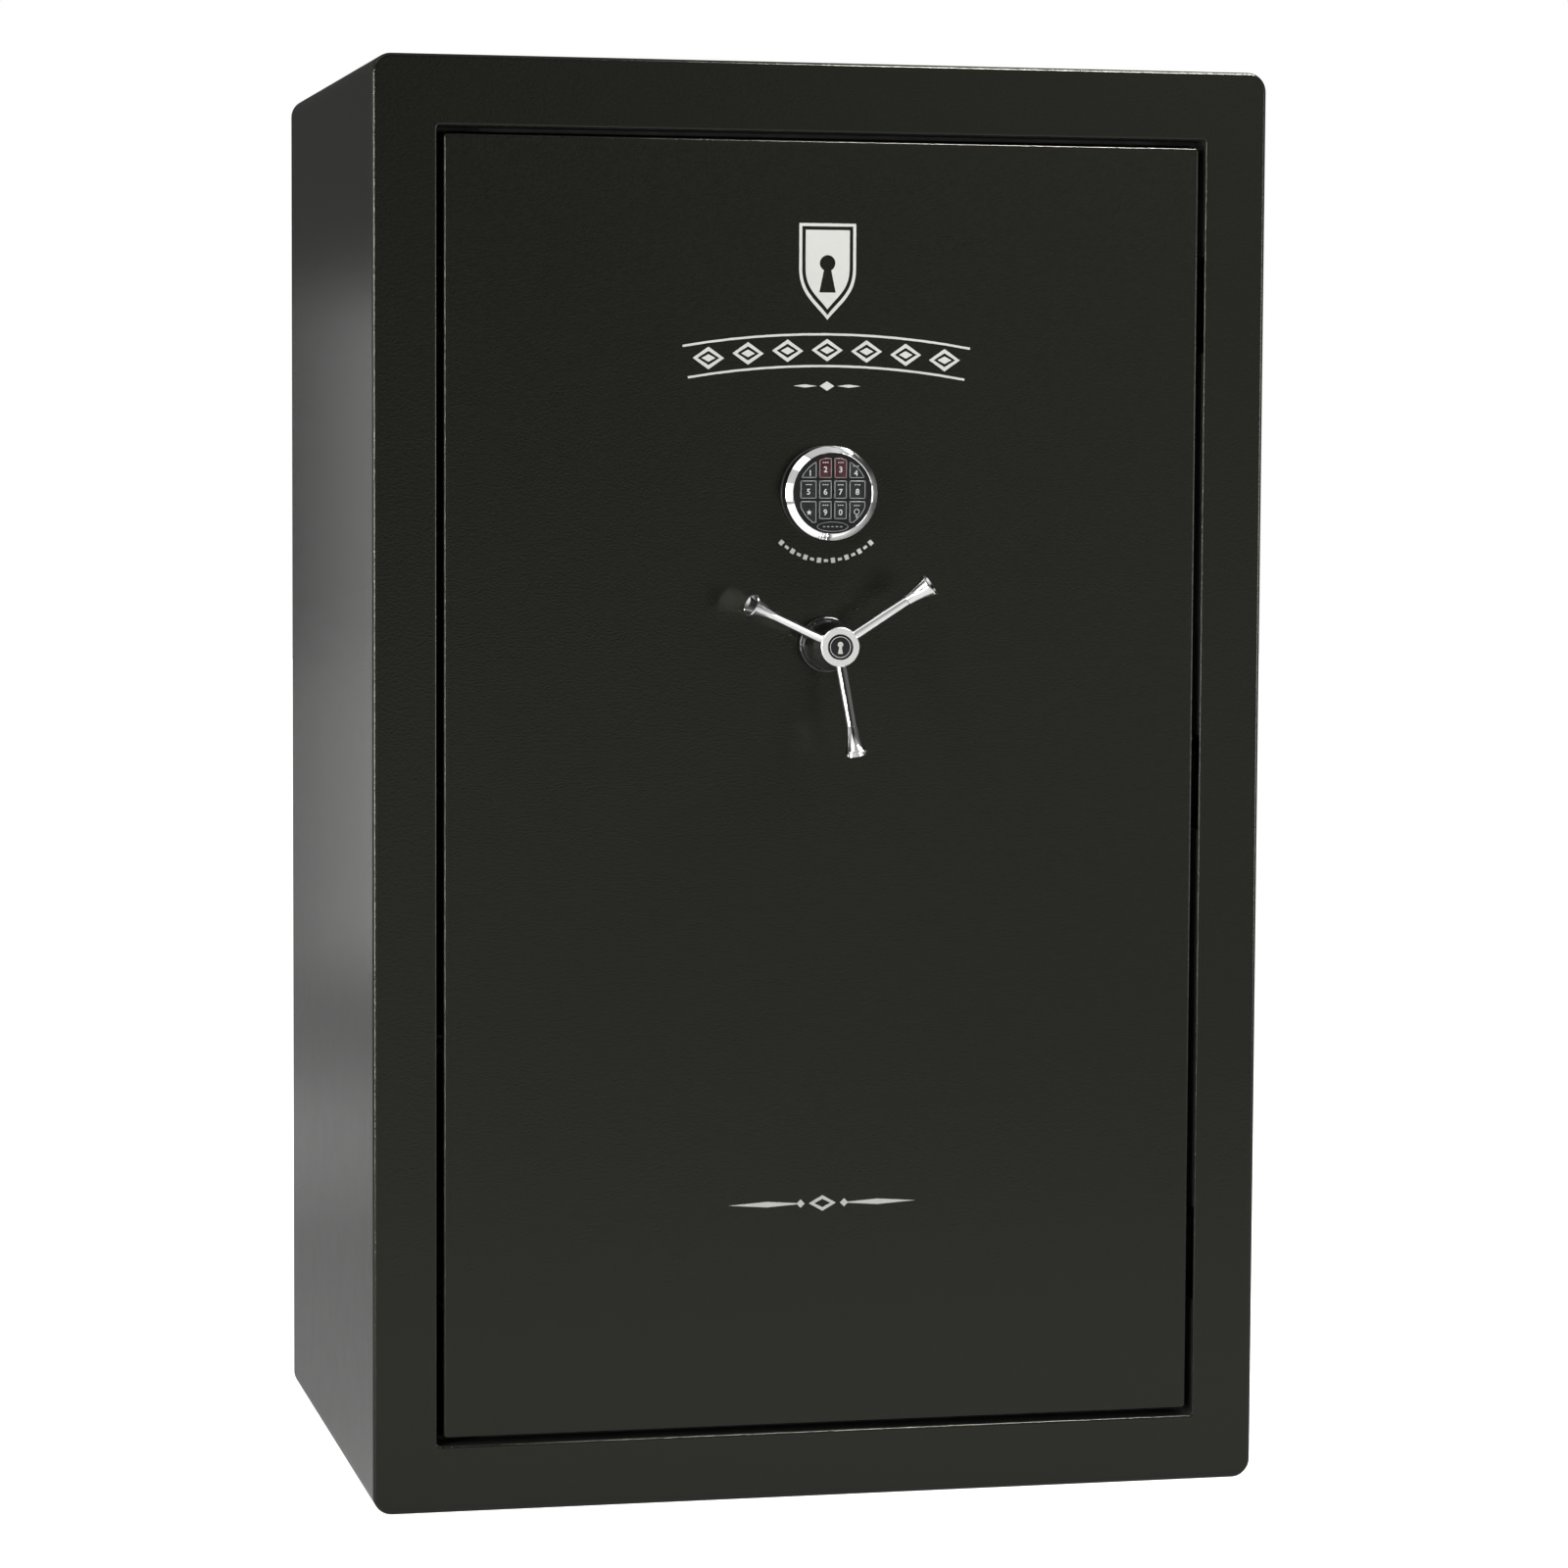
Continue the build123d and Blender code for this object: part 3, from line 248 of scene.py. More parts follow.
materials = {
    "powder_coat": powder_coat("powder_coat", (0.0026, 0.0026, 0.0020), 0.16, 450.0, 0.24 * MM),
    "jamb_paint": powder_coat("jamb_paint", (0.012, 0.012, 0.012), 0.5, 900.0, 0.15 * MM),
    "seal_rubber": moulded("seal_rubber", (0.012, 0.012, 0.012), 0.8),
    "hinge_steel": powder_coat("hinge_steel", (0.015, 0.015, 0.015), 0.45, 900.0, 0.12 * MM),
    "pin_steel": machined("pin_steel", (0.6, 0.6, 0.6), 0.25),
    "door_steel": powder_coat("door_steel", (0.05, 0.05, 0.05), 0.45, 900.0, 0.12 * MM),
    "fireboard": gypsum("fireboard"),
    "hard_steel": machined("hard_steel", (0.3, 0.3, 0.31), 0.35),
    "panel_fabric": carpet("panel_fabric", (0.06, 0.057, 0.051), (0.15, 0.14, 0.125)),
    "screw_steel": moulded("screw_steel", (0.02, 0.02, 0.02), 0.35),
    "bolt_steel": polished("bolt_steel", (0.78, 0.78, 0.78), 0.12),
    "zinc_steel": machined("zinc_steel", (0.62, 0.61, 0.57), 0.32),
    "brass_bush": machined("brass_bush", (0.62, 0.42, 0.16), 0.28, (1, 30, 30)),
    "chrome": polished("chrome", (0.82, 0.82, 0.81), 0.05),
    "black_gloss": gloss("black_gloss", (0.0022, 0.0024, 0.0022)),
    "black_plastic": moulded("black_plastic", (0.010, 0.010, 0.010), 0.35),
    "key_plastic": gloss("key_plastic", (0.0040, 0.0048, 0.0043), 0.2),
    "key_red": gloss("key_red", (0.017, 0.0028, 0.0042), 0.2),
    "battery_case": moulded("battery_case", (0.03, 0.03, 0.03), 0.4),
    "lock_alloy": moulded("lock_alloy", (0.42, 0.42, 0.40), 0.4, 500.0, 0.1 * MM),
    "lock_brass": machined("lock_brass", (0.62, 0.42, 0.16), 0.3),
    "cable_black": moulded("cable_black", (0.012, 0.012, 0.012), 0.5),
    "silver_ink": print_ink("silver_ink", (0.26, 0.26, 0.245), 0.42),
    "carpet": carpet("carpet", (0.09, 0.084, 0.073), (0.21, 0.197, 0.172)),
    "carpet_board": carpet("carpet_board", (0.08, 0.074, 0.066), (0.185, 0.175, 0.155)),
    "carpet_rack": carpet("carpet_rack", (0.06, 0.057, 0.051), (0.14, 0.133, 0.118)),
    "clip_plastic": moulded("clip_plastic", (0.05, 0.05, 0.05), 0.45),
    "organiser_fabric": woven("organiser_fabric", (0.005, 0.005, 0.005), (0.019, 0.019, 0.019)),
    "piping": woven("piping", (0.006, 0.006, 0.006), (0.024, 0.024, 0.024), 1500.0),
    "webbing": woven("webbing", (0.008, 0.008, 0.008), (0.034, 0.034, 0.034), 700.0),
    "thread": moulded("thread", (0.10, 0.10, 0.095), 0.7, 2500.0, 0.05 * MM),
    "key_ink": print_ink("key_ink", (0.28, 0.29, 0.285), 0.35),
    "key_line": print_ink("key_line", (0.125, 0.130, 0.127), 0.35),
    "key_line_red": print_ink("key_line_red", (0.105, 0.085, 0.087), 0.35),
    # a darker copy of the chrome for the spokes: painted shade that tones down their bright reflections
    "chrome_painted_shade": polished("chrome_painted_shade", (0.58, 0.58, 0.57), 0.05),
    "chrome_satin": polished("chrome_satin", (0.86, 0.86, 0.84), 0.24),
    # near-black for the hollow of each spoke's flared end: painted shade standing in for the dark inside of
    # the cup
    "cup_painted_shade": moulded("cup_painted_shade", (0.004, 0.004, 0.004), 0.5),
}

RED_KEYS = ("key_2", "key_3")

for name, piece in nodes.items():
    wanted = "key_red" if name in RED_KEYS else slot_of[name]
    piece.data.materials.clear()
    piece.data.materials.append(materials[wanted])

HUB_FRONT = -0.5  # a hub face whose normal has less Y than this is on the brushed front
CUP_REACH = 24 * MM  # length of a spoke's flared end
CUP_LEAN = 0.25  # a face there whose normal points outward more than this is in its hollow, which is painted near-black as painted shade

hub_mesh = nodes["handle_hub"].data
hub_mesh.materials[0] = materials["bolt_steel"]
hub_mesh.materials.append(materials["chrome_satin"])
for face in hub_mesh.polygons:
    if face.normal.y < HUB_FRONT:
        face.material_index = 1

spoke_mesh = nodes["handle_spokes"].data
# The spokes take the darker copy of the chrome: painted shade that tones down their reflections of the
# lights.
spoke_mesh.materials[0] = materials["chrome_painted_shade"]
# The hollow faces of the spokes' flared ends take a near-black material: painted shade for the dark inside
# of each cup.
spoke_mesh.materials.append(materials["cup_painted_shade"])
hub_low, hub_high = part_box("handle_hub")
hub_spot = Vector(((hub_low.x + hub_high.x) / 2, 0, (hub_low.z + hub_high.z) / 2))
spoke_reach = max((Vector((v.co.x, 0, v.co.z)) - hub_spot).length for v in spoke_mesh.vertices)
for face in spoke_mesh.polygons:
    away = Vector((face.center.x, 0, face.center.z)) - hub_spot
    if away.length > spoke_reach - CUP_REACH and face.normal.dot(away.normalized()) > CUP_LEAN:
        face.material_index = 1


# ---- mesh helpers ---------------------------------------------------------------------------


def add_piece(name, mesh, material, body):
    """Puts a mesh into the scene as a piece of the object."""
    mesh.materials.clear()
    mesh.materials.append(materials[material])
    piece = bpy.data.objects.new(name, mesh)
    bpy.context.scene.collection.objects.link(piece)
    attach(piece, body)
    return piece


def from_bmesh(name, shape):
    """A mesh from a bmesh, with its normals facing out."""
    bmesh.ops.recalc_face_normals(shape, faces=shape.faces)
    mesh = bpy.data.meshes.new(name)
    shape.to_mesh(mesh)
    shape.free()
    return mesh


def raised_faces(shape, faces, height):
    """Gives flat faces a thickness towards -Y."""
    extruded = bmesh.ops.extrude_face_region(shape, geom=faces)
    moved = [item for item in extruded["geom"] if isinstance(item, bmesh.types.BMVert)]
    bmesh.ops.translate(shape, verts=moved, vec=(0, -height, 0))


def ring_points(centre, radii, count, y):
    """Points round an ellipse that faces -Y."""
    turns = [2 * pi * step / count for step in range(count)]
    across, up = radii
    return [Vector((centre[0] + across * cos(t), y, centre[1] + up * sin(t))) for t in turns]


def band(shape, outer, inner, height):
    """A raised band between two loops of as many points."""
    far, near = ([shape.verts.new(point) for point in loop] for loop in (outer, inner))
    count = len(far)
    faces = []
    for step in range(count):
        after = (step + 1) % count
        faces.append(shape.faces.new((far[step], far[after], near[after], near[step])))
    raised_faces(shape, faces, height)


def plate(shape, loop, height):
    """A raised flat shape inside one loop."""
    face = shape.faces.new([shape.verts.new(point) for point in loop])
    raised_faces(shape, [face], height)


# ---- keypad print ---------------------------------------------------------------------------

KEY_LABELS = {f"key_{digit}": str(digit) for digit in range(10)}
BORDER_GAP, BORDER_W = 0.25 * MM, 0.75 * MM
DIGIT_SIZE = 8.6 * MM
DIGIT_WEIGHT = 0.12 * MM  # how much each side of a digit's strokes is thickened
DIGIT_DROP = 2.6 * MM  # how far a digit stands below its key's middle
DASH_RISE = 5.2 * MM  # how far the dashes stand above it
DASH_PITCH = 2.3 * MM
DASH_HALF_W, DASH_HALF_H = 0.75 * MM, 0.45 * MM


def key_front(name):
    """The outline of a key's flat front, in order round it, and that front's depth."""
    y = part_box(name)[0].y
    points = [v.co.copy() for v in nodes[name].data.vertices if v.co.y - y < 0.02 * MM]
    unique = {(round(p.x, 6), round(p.z, 6)) for p in points}
    middle_x = sum(p[0] for p in unique) / len(unique)
    middle_z = sum(p[1] for p in unique) / len(unique)
    right = Vector((1, 0))
    outline = sorted(unique, key=lambda p: Vector((p[0] - middle_x, p[1] - middle_z)).angle_signed(right))
    return outline, y, (middle_x, middle_z)


def key_border(name):
    """The printed line just inside a key's edge."""
    outline, y, _ = key_front(name)
    shape = bmesh.new()
    face = shape.faces.new([shape.verts.new((x, y, z)) for x, z in outline])
    bmesh.ops.inset_individual(shape, faces=[face], thickness=BORDER_GAP, use_even_offset=True)
    margin = [other for other in shape.faces if other is not face]
    bmesh.ops.delete(shape, geom=margin, context="FACES")
    bmesh.ops.inset_individual(shape, faces=[face], thickness=BORDER_W, use_even_offset=True)
    line = [other for other in shape.faces if other is not face]
    bmesh.ops.delete(shape, geom=[face], context="FACES_ONLY")
    raised_faces(shape, line, INK)
    return from_bmesh(name + "_border", shape)


def glyph(text, size, centre, y, name):
    """A printed character, facing -Y, as a mesh."""
    curve = bpy.data.curves.new(name, "FONT")
    curve.body = text
    curve.size = size
    curve.align_x = "CENTER"
    curve.align_y = "CENTER"
    curve.extrude = INK / 2
    curve.offset = DIGIT_WEIGHT
    holder = bpy.data.objects.new(name, curve)
    bpy.context.scene.collection.objects.link(holder)
    upright = Matrix.Rotation(pi / 2, 4, "X")
    holder.matrix_world = Matrix.Translation((centre[0], y - INK / 2, centre[1])) @ upright
    bpy.context.view_layer.update()
    evaluated = holder.evaluated_get(bpy.context.evaluated_depsgraph_get())
    mesh = bpy.data.meshes.new_from_object(evaluated)
    mesh.transform(holder.matrix_world)
    bpy.data.objects.remove(holder)
    return mesh


def star_loop(centre, outer, inner, y):
    """A five-pointed star."""
    points = []
    for step in range(10):
        radius = outer if step % 2 == 0 else inner
        turn = pi / 2 + step * pi / 5
        points.append(Vector((centre[0] + radius * cos(turn), y, centre[1] + radius * sin(turn))))
    return points


def mark_dashes(shape, centre, y):
    """Three short dashes over a digit."""
    for side in (-1, 0, 1):
        x = centre[0] + side * DASH_PITCH
        low, high = centre[1] - DASH_HALF_H, centre[1] + DASH_HALF_H
        left, right = x - DASH_HALF_W, x + DASH_HALF_W
        corners = ((left, y, low), (right, y, low), (right, y, high), (left, y, high))
        plate(shape, [Vector(corner) for corner in corners], INK)


for name in sorted(nodes):
    if not name.startswith("key_"):
        continue
    line = "key_line_red" if name in RED_KEYS else "key_line"
    add_piece(name + "_border", key_border(name), line, name)
    _, key_y, (middle_x, middle_z) = key_front(name)
    marks = bmesh.new()
    if name in KEY_LABELS:
        digit_spot = (middle_x, middle_z - DIGIT_DROP)
        digit = glyph(KEY_LABELS[name], DIGIT_SIZE, digit_spot, key_y, name + "_digit")
        add_piece(name + "_digit", digit, "key_ink", name)
        if name != "key_1":
            mark_dashes(marks, (middle_x, middle_z + DASH_RISE), key_y)
    elif name == "key_star":
        plate(marks, star_loop((middle_x, middle_z - 1 * MM), 3.2 * MM, 1.4 * MM, key_y), INK)
    else:
        bulb = (middle_x, middle_z)
        outer = ring_points(bulb, (3.0 * MM, 3.0 * MM), 28, key_y)
        inner = ring_points(bulb, (2.4 * MM, 2.4 * MM), 28, key_y)
        band(marks, outer, inner, INK)
        for step in range(3):
            half = (1.5 - 0.3 * step) * MM
            z = middle_z - (3.9 + 1.1 * step) * MM
            corners = ((-half, -0.3 * MM), (half, -0.3 * MM), (half, 0.3 * MM), (-half, 0.3 * MM))
            plate(marks, [Vector((middle_x + x, key_y, z + dz)) for x, dz in corners], INK)
        mark_dashes(marks, (middle_x, middle_z + 6.6 * MM), key_y)
    if marks.verts:
        add_piece(name + "_marks", from_bmesh(name + "_marks", marks), "key_ink", name)
    else:
        marks.free()

face_low, face_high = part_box("keypad_face")
face_centre = ((face_low.x + face_high.x) / 2, (face_low.z + face_high.z) / 2)
badge = bmesh.new()
badge_centre = (face_centre[0], face_centre[1] - 35.4 * MM)
band(
    badge,
    ring_points(badge_centre, (17.0 * MM, 5.2 * MM), 72, face_low.y),
    ring_points(badge_centre, (16.5 * MM, 4.7 * MM), 72, face_low.y),
    INK,
)
for side in (-2, -1, 0, 1, 2):
    spot = (badge_centre[0] + side * 4.6 * MM, badge_centre[1])
    plate(badge, ring_points(spot, (1.5 * MM, 0.6 * MM), 24, face_low.y), INK)
add_piece("keypad_badge", from_bmesh("keypad_badge", badge), "key_line", "keypad")

# ---- hub cap print --------------------------------------------------------------------------

cap_low, cap_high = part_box("hub_cap")
cap_centre = ((cap_low.x + cap_high.x) / 2, (cap_low.z + cap_high.z) / 2)
cap_print = bmesh.new()
band(
    cap_print,
    ring_points(cap_centre, (11.2 * MM, 11.2 * MM), 72, cap_low.y),
    ring_points(cap_centre, (10.6 * MM, 10.6 * MM), 72, cap_low.y),
    INK,
)
keyhole_head = (cap_centre[0], cap_centre[1] + 2.6 * MM)
keyhole = []
for step in range(29):
    turn = radians(-62 + step * 304 / 28)
    x, z = keyhole_head[0] + 3.0 * MM * cos(turn), keyhole_head[1] + 3.0 * MM * sin(turn)
    keyhole.append(Vector((x, cap_low.y, z)))
for x in (-2.7 * MM, 2.7 * MM):
    keyhole.append(Vector((cap_centre[0] + x, cap_low.y, cap_centre[1] - 7.0 * MM)))
plate(cap_print, keyhole, INK)
add_piece("hub_cap_print", from_bmesh("hub_cap_print", cap_print), "silver_ink", "handle")

# ---- door organiser -------------------------------------------------------------------------

organiser_low, organiser_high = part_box("door_organiser")
CLOTH_X = organiser_high.x - 3 * MM  # half width of the backing cloth
CLOTH_LOW, CLOTH_HIGH = organiser_low.z + 3 * MM, organiser_high.z - 3 * MM
CLOTH_T = 2.4 * MM
POCKET_W, POCKET_H = 190 * MM, 250 * MM
POCKET_DEPTH = 17 * MM
POCKET_PITCH = 208 * MM
BOXINESS = 0.38  # power that squares up a pocket's rounded section; 1 is a plain ellipse
STRAP_REACH = 0.300  # half length of a strap
TACK_PITCH = 0.050  # from one row of tacking stitches to the next
POCKET_LOWS = tuple(organiser_low.z + low * MM for low in (35, 395, 755))
STRAP_MIDDLES = tuple(organiser_low.z + middle * MM for middle in (340, 700, 1062))
STITCH_PITCH = 4.2 * MM
STITCH_HALF_L, STITCH_HALF_W = 1.4 * MM, 0.45 * MM
HANG = organiser_low.y + 0.2 * MM  # the back of the cloth, against the door panel
POCKET_BASE = HANG + CLOTH_T + 0.5 * MM


def shell(shape, front, back):
    """A closed shell between two grids of as many points."""
    sheets = [[[shape.verts.new(point) for point in row] for row in grid] for grid in (front, back)]
    rows, columns = len(front), len(front[0])
    for sheet in sheets:
        for i in range(rows - 1):
            for j in range(columns - 1):
                shape.faces.new((sheet[i][j], sheet[i][j + 1], sheet[i + 1][j + 1], sheet[i + 1][j]))
    border = [(0, j) for j in range(columns)] + [(i, columns - 1) for i in range(1, rows)]
    border += [(rows - 1, j) for j in range(columns - 2, -1, -1)] + [(i, 0) for i in range(rows - 2, 0, -1)]
    for (i, j), (k, m) in zip(border, border[1:] + border[:1]):
        shape.faces.new((sheets[0][i][j], sheets[0][k][m], sheets[1][k][m], sheets[1][i][j]))


def tube(shape, rings, joined):
    """A tube through rings of as many points, its ends joined to each other or else capped."""
    built = [[shape.verts.new(point) for point in ring] for ring in rings]
    count = len(built[0])
    following = built[1:] + built[:1] if joined else built[1:]
    for here, there in zip(built, following):
        for step in range(count):
            after = (step + 1) % count
            shape.faces.new((here[step], here[after], there[after], there[step]))
    if not joined:
        shape.faces.new(built[0])
        shape.faces.new(built[-1])


def smooth(mesh):
    """Rounds the shading of a mesh."""
    mesh.polygons.foreach_set("use_smooth", [True] * len(mesh.polygons))
    return mesh


def stitch(shape, spot, along, lift=0.5 * MM):
    """One stitch that stands on spot, drawn along a direction in the cloth's plane."""
    ahead = Vector(along).normalized()
    across = ahead.cross(Vector((0, 1, 0)))
    up = Vector((0, 1, 0))
    corners = ((-1, -1), (1, -1), (1, 1), (-1, 1))
    base = [spot + ahead * (a * STITCH_HALF_L) + across * (b * STITCH_HALF_W) for a, b in corners]
    crest = [p + up * lift + (spot - p) * 0.35 for p in base]
    low = [shape.verts.new(p - up * 0.3 * MM) for p in base]
    high = [shape.verts.new(p) for p in crest]
    shape.faces.new(low)
    shape.faces.new(high)
    for k in range(4):
        m = (k + 1) % 4
        shape.faces.new((low[k], low[m], high[m], high[k]))


def stitch_line(shape, start, end):
    """A row of stitches from one point to another."""
    count = max(1, int((end - start).length / STITCH_PITCH))
    for step in range(count):
        stitch(shape, start.lerp(end, (step + 0.5) / count), end - start)


def ripple(x, z):
    """Slack of the backing cloth over the panel."""
    return 0.35 * MM * (sin(x * 19 + 1.3 * sin(z * 11)) + 0.6 * sin(z * 23 + x * 7))


def pocket_point(centre, low, turn, share, inset):
    """A point on a pocket's cloth: turn runs across it from side to side, share up it from bottom to lip."""
    fullness = (1 - (1 - min(share / 0.10, 1)) ** 2) ** 0.5
    easing = 1 - 0.32 * max(0.0, (share - 0.35) / 0.65) ** 1.5
    stand = max(POCKET_DEPTH * fullness * easing, 1.8 * MM)
    crumple = 0.5 * sin(9 * share + 5 * centre) * sin(3 * turn + 2 * low) + 0.3 * sin(23 * share + 4 * turn)
    stand += 0.9 * MM * fullness * crumple * sin(turn)
    side = cos(turn)
    x = centre + (POCKET_W / 2 - inset) * (1 if side >= 0 else -1) * abs(side) ** BOXINESS
    y = POCKET_BASE + (stand - inset) * abs(sin(turn)) ** BOXINESS
    z = low + POCKET_H * share - 7 * MM * share * sin(turn) ** 2 + inset * (1 - share)
    return Vector((x, y, z))


def pocket_grid(centre, low, first, last, rows, inset):
    """Rows of points on a pocket's cloth, from one height share to another."""
    turns = [pi * step / 44 for step in range(45)]
    shares = [first + (last - first) * step / rows for step in range(rows + 1)]
    return [[pocket_point(centre, low, turn, share, inset) for turn in turns] for share in shares]


def round_rectangle(inset, y, radius):
    """A rounded rectangle round the cloth's edge, inset from the organiser's outline."""
    x, low, high = organiser_high.x - inset, organiser_low.z + inset, organiser_high.z - inset
    points = []
    corners = (
        (x - radius, high - radius, 0),
        (-x + radius, high - radius, 90),
        (-x + radius, low + radius, 180),
        (x - radius, low + radius, 270),
    )
    for cx, cz, first in corners:
        for step in range(7):
            turn = radians(first + 15 * step)
            points.append(Vector((cx + radius * cos(turn), y, cz + radius * sin(turn))))
    return points


cloth = bmesh.new()
columns = [-CLOTH_X + 2 * CLOTH_X * step / 48 for step in range(49)]
heights = [CLOTH_LOW + (CLOTH_HIGH - CLOTH_LOW) * step / 80 for step in range(81)]
cloth_front = [[Vector((x, HANG + CLOTH_T + ripple(x, z), z)) for x in columns] for z in heights]
cloth_back = [[Vector((x, HANG, z)) for x in columns] for z in heights]
shell(cloth, cloth_front, cloth_back)
backing_mesh = smooth(from_bmesh("organiser_backing", cloth))
backing = add_piece("organiser_backing", backing_mesh, "organiser_fabric", "door")
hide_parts("door_organiser")

pockets, hems, threads, straps = bmesh.new(), bmesh.new(), bmesh.new(), bmesh.new()
for low in POCKET_LOWS:
    for column in (-1, 0, 1):
        centre = column * POCKET_PITCH
        shell(pockets, *(pocket_grid(centre, low, 0, 1, 30, inset) for inset in (0, 1.3 * MM)))
        shell(hems, *(pocket_grid(centre, low, 0.93, 1.006, 3, inset) for inset in (-0.9 * MM, 2.1 * MM)))
        y = POCKET_BASE - 0.2 * MM
        for side in (-1, 1):
            x = centre + side * (POCKET_W / 2 + 3 * MM)
            stitch_line(threads, Vector((x, y, low)), Vector((x, y, low + POCKET_H)))
        left, right = centre - POCKET_W / 2, centre + POCKET_W / 2
        stitch_line(threads, Vector((left, y, low - 3 * MM)), Vector((right, y, low - 3 * MM)))
        for share in (0.94, 0.995):
            row = pocket_grid(centre, low, share, share + 0.001, 1, -0.9 * MM)[0]
            for here, there in zip(row[3:-3], row[4:-2]):
                stitch(threads, (here + there) / 2, there - here, 0.35 * MM)

for middle in STRAP_MIDDLES:
    spots = [-STRAP_REACH + 2 * STRAP_REACH * step / 120 for step in range(121)]
    half = 12.5 * MM
    grids = []
    for lift in (1.6 * MM, 0.2 * MM):
        grid = []
        for z in (middle - half, middle - half * 0.9, middle, middle + half * 0.9, middle + half):
            arch = [1.3 * MM * abs(sin(pi * (x + STRAP_REACH) / TACK_PITCH)) for x in spots]
            thin = 0.5 if abs(z - middle) > half * 0.95 else 1.0
            grid.append([Vector((x, POCKET_BASE + lift * thin + a, z)) for x, a in zip(spots, arch)])
        grids.append(grid)
    shell(straps, *grids)
    for tack in range(13):
        tack_x = min(max(-STRAP_REACH + TACK_PITCH * tack, 3 * MM - STRAP_REACH), STRAP_REACH - 3 * MM)
        for offset in (-1.1 * MM, 0, 1.1 * MM):
            x, y = tack_x + offset, POCKET_BASE + 1.6 * MM
            stitch_line(threads, Vector((x, y, middle - 10 * MM)), Vector((x, y, middle + 10 * MM)))

edging = bmesh.new()
binding = (  # inset from the outline, height off the panel and corner radius, in mm
    (0, 0.2, 8),
    (0, 3.0, 8),
    (1.2, 3.9, 7),
    (7, 4.3, 4),
    (12.8, 3.9, 1.5),
    (14, 3.2, 1),
    (14, 2.2, 1),
    (2.5, 0.1, 6),
)
sections = [round_rectangle(inset * MM, HANG + y * MM, radius * MM) for inset, y, radius in binding]
tube(edging, sections, joined=True)
for inset in (4 * MM, 10.5 * MM):
    loop = round_rectangle(inset, HANG + 4.05 * MM, 5 * MM)
    for here, there in zip(loop, loop[1:] + loop[:1]):
        if (there - here).length > 20 * MM:
            stitch_line(threads, here, there)

RIVET_SPOTS = (-285 * MM, -95 * MM, 95 * MM, 285 * MM)
RIVET_SIDES = 28
RIVET_DOME = (  # radius and height off the panel, in mm
    (5.6, 1.6),
    (5.6, 2.9),
    (4.9, 3.6),
    (3.6, 3.7),
    (3.2, 3.3),
    (2.6, 3.9),
    (1.2, 4.5),
    (0.3, 4.6),
)

rivets = bmesh.new()
for x in RIVET_SPOTS:
    centre = (x, organiser_high.z - 26 * MM)
    rings = [ring_points(centre, (r * MM, r * MM), RIVET_SIDES, HANG + y * MM) for r, y in RIVET_DOME]
    tube(rivets, rings, joined=False)

SEWN = (  # name, shape, whether its shading is rounded, material and slot
    ("organiser_pockets", pockets, True, "organiser_fabric", "organiser_fabric"),
    ("organiser_hems", hems, True, "piping", "organiser_fabric"),
    ("organiser_threads", threads, False, "thread", "organiser_fabric"),
    ("organiser_straps", straps, False, "webbing", "organiser_fabric"),
    ("organiser_edging", edging, True, "piping", "organiser_fabric"),
    ("organiser_rivets", rivets, True, "zinc_steel", "zinc_steel"),
)
for name, shape, rounded, material, slot in SEWN:
    mesh = from_bmesh(name, shape)
    add_piece(name, smooth(mesh) if rounded else mesh, material, "door")

# ---- camera and light -----------------------------------------------------------------------

CAMERA_SPOT = (-1.1550, -5.2426, 1.1274)
CAMERA_YAW = radians(12.783)
CAMERA_PITCH = radians(-4.049)
CAMERA_ROLL = radians(0.292)
CAMERA_LENS = 108.17

camera_data = bpy.data.cameras.new("camera")
camera_data.lens = CAMERA_LENS
camera_data.sensor_width = 36.0
camera = bpy.data.objects.new("camera", camera_data)
bpy.context.scene.collection.objects.link(camera)
turned = Euler((pi / 2 + CAMERA_PITCH, 0, -CAMERA_YAW)).to_matrix().to_4x4()
camera.matrix_world = Matrix.Translation(CAMERA_SPOT) @ turned @ Matrix.Rotation(CAMERA_ROLL, 4, "Z")
bpy.context.scene.camera = camera


def softbox(name, spot, aim, size, power):
    """A rectangular light that faces a point."""
    data = bpy.data.lights.new(name, "AREA")
    data.shape = "RECTANGLE"
    data.size, data.size_y = size
    data.energy = power
    light = bpy.data.objects.new(name, data)
    light.location = spot
    light.rotation_euler = (Vector(aim) - Vector(spot)).to_track_quat("-Z", "Y").to_euler()
    bpy.context.scene.collection.objects.link(light)


softbox("key", (-3.3, -0.9, 1.1), (-0.5, -0.1, 0.8), (0.9, 1.6), 30)
softbox("strip", (-2.7, -2.1, 0.9), (-0.49, -0.35, 0.8), (0.10, 2.4), 150)
softbox("side", (-1.6, 3.0, 0.8), (-0.5, 0, 0.75), (0.9, 1.2), 4.2)
softbox("high", (-1.6, -0.9, 3.1), (0, -0.39, 1.0), (1.6, 1.2), 10)
softbox("fill", (2.6, -2.2, 0.9), (0.3, -0.35, 0.8), (0.9, 1.3), 45)
softbox("top", (0.75, -0.80, 2.6), (0.4, -0.35, 1.0), (1.2, 0.12), 110)

# The room: pale walls in front and behind, darker above and to the left, and plain white to the camera.
ROOM_FRONT = 0.66
ROOM_BACK = 0.46
ROOM_LEFT = 0.16  # share of those two walls' light at their left ends
ROOM_HIGH = 0.25  # share of their light above them
ROOM_EXTRA = 0.6  # the wall at the far left and the ceiling, which mostly polished metal shows
FLOOR_REACH = 20.0  # half the width of the floor
FLOOR_SEEN = 1.1  # the floor's strength to the camera

world = bpy.data.worlds.new("studio")
bpy.context.scene.world = world
world.use_nodes = True
tree = world.node_tree


def world_ramp(axis, low, high, from_low, from_high):
    """A smooth step from one strength to another along a direction."""
    node = map_range(tree, split.outputs[axis], low, high, from_low, from_high)
    node.interpolation_type = "SMOOTHSTEP"
    return node.outputs["Result"]


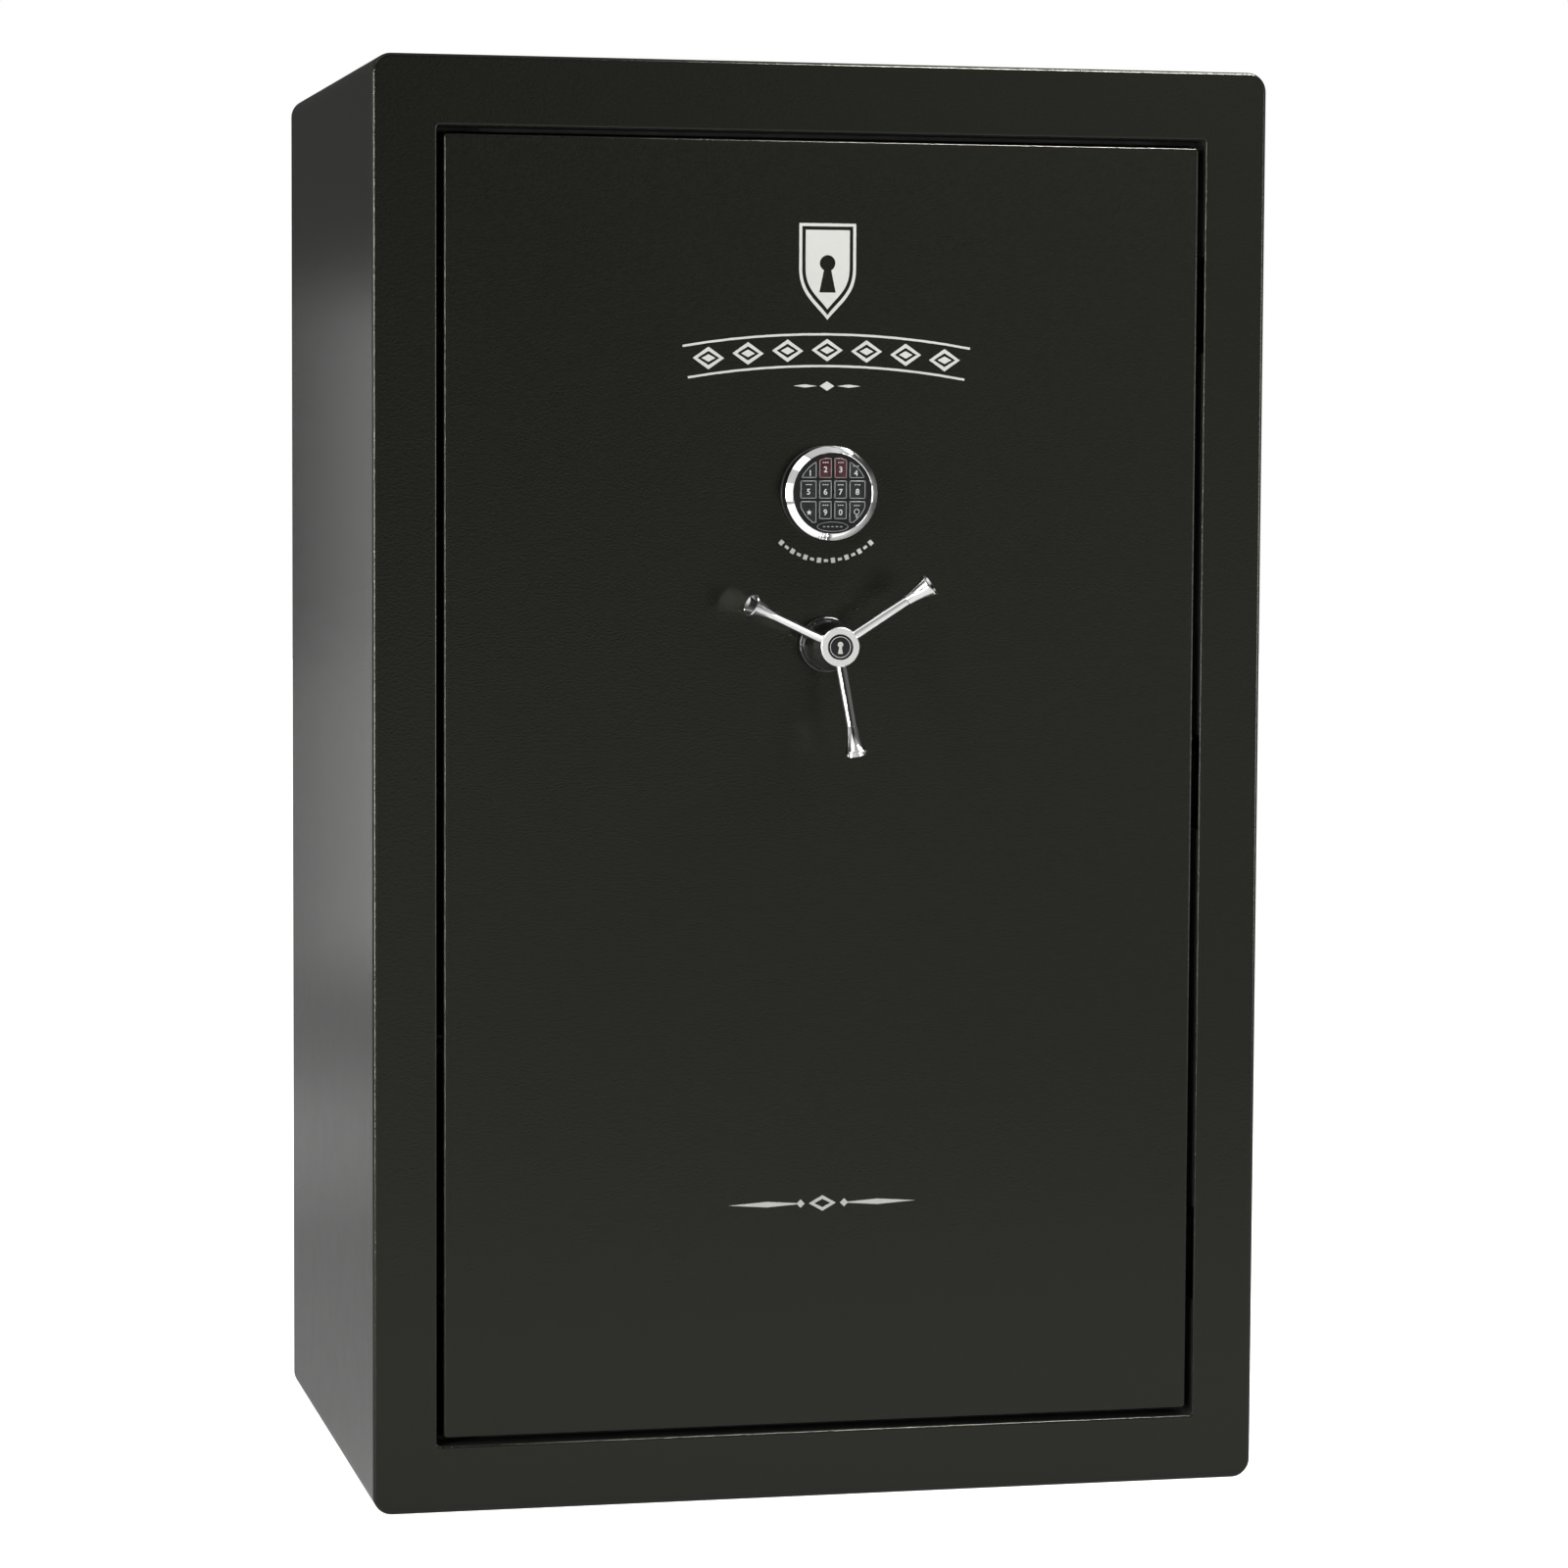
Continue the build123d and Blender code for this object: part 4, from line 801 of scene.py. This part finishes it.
background = tree.nodes["Background"]
direction = tree.nodes.new("ShaderNodeTexCoord")
split = tree.nodes.new("ShaderNodeSeparateXYZ")
tree.links.new(direction.outputs["Generated"], split.inputs["Vector"])
walls = world_ramp("Y", ROOM_FRONT, ROOM_BACK, -0.25, 0.5)
height = world_ramp("Z", 1.0, ROOM_HIGH, 0.20, 0.42)
across = world_ramp("X", ROOM_LEFT, 1.0, 0.03, 0.36)
left_wall = world_ramp("X", ROOM_EXTRA, 0.0, -0.75, -0.35)
ceiling = world_ramp("Z", 0.0, ROOM_EXTRA, 0.78, 0.95)
room = math_node(tree, "MULTIPLY", math_node(tree, "MULTIPLY", walls, height), across)
room = math_node(tree, "ADD", math_node(tree, "ADD", room, left_wall), ceiling)
seen = tree.nodes.new("ShaderNodeLightPath")
choose = tree.nodes.new("ShaderNodeMix")
choose.data_type = "FLOAT"
choose.inputs["B"].default_value = 1.0
tree.links.new(seen.outputs["Is Camera Ray"], choose.inputs["Factor"])
tree.links.new(room, choose.inputs["A"])
tree.links.new(choose.outputs["Result"], background.inputs["Strength"])
background.inputs["Color"].default_value = (1, 1, 1, 1)

floor_mesh = bpy.data.meshes.new("floor")
floor_corners = [(x * FLOOR_REACH, y * FLOOR_REACH, 0) for x, y in ((-1, -1), (1, -1), (1, 1), (-1, 1))]
floor_mesh.from_pydata(floor_corners, [], [(0, 1, 2, 3)])
floor = bpy.data.objects.new("floor", floor_mesh)
bpy.context.scene.collection.objects.link(floor)
floor_material, floor_shader = new_material("floor", (0.5, 0.5, 0.5), 0.6)
floor_shader.inputs["Specular IOR Level"].default_value = 0.2
floor_shader.inputs["Emission Color"].default_value = (1, 1, 1, 1)
floor_tree = floor_material.node_tree
floor_place = floor_tree.nodes.new("ShaderNodeTexCoord")
floor_split = floor_tree.nodes.new("ShaderNodeSeparateXYZ")
floor_tree.links.new(floor_place.outputs["Object"], floor_split.inputs["Vector"])


def floor_ramp(axis, low, high, from_low, from_high):
    """The floor's own glow, from one strength to another along a direction."""
    return map_range(floor_tree, floor_split.outputs[axis], low, high, from_low, from_high).outputs["Result"]


ahead = floor_ramp("Y", 0.85, 0.02, -7.0, 0.4)
behind = floor_ramp("Y", 0.0, 0.55, 0.2, 0.7)
rightward = floor_ramp("X", 0.0, 1.0, -0.3, 0.7)
glow = math_node(floor_tree, "MULTIPLY_ADD", behind, rightward, ahead)
floor_seen = floor_tree.nodes.new("ShaderNodeLightPath").outputs["Is Camera Ray"]
floor_glow = map_range(floor_tree, floor_seen, 0.0, FLOOR_SEEN, 0.0, 1.0)
floor_tree.links.new(glow, floor_glow.inputs["To Min"])
floor_tree.links.new(floor_glow.outputs["Result"], floor_shader.inputs["Emission Strength"])
floor_mesh.materials.append(floor_material)

bpy.context.scene.view_settings.view_transform = "Standard"
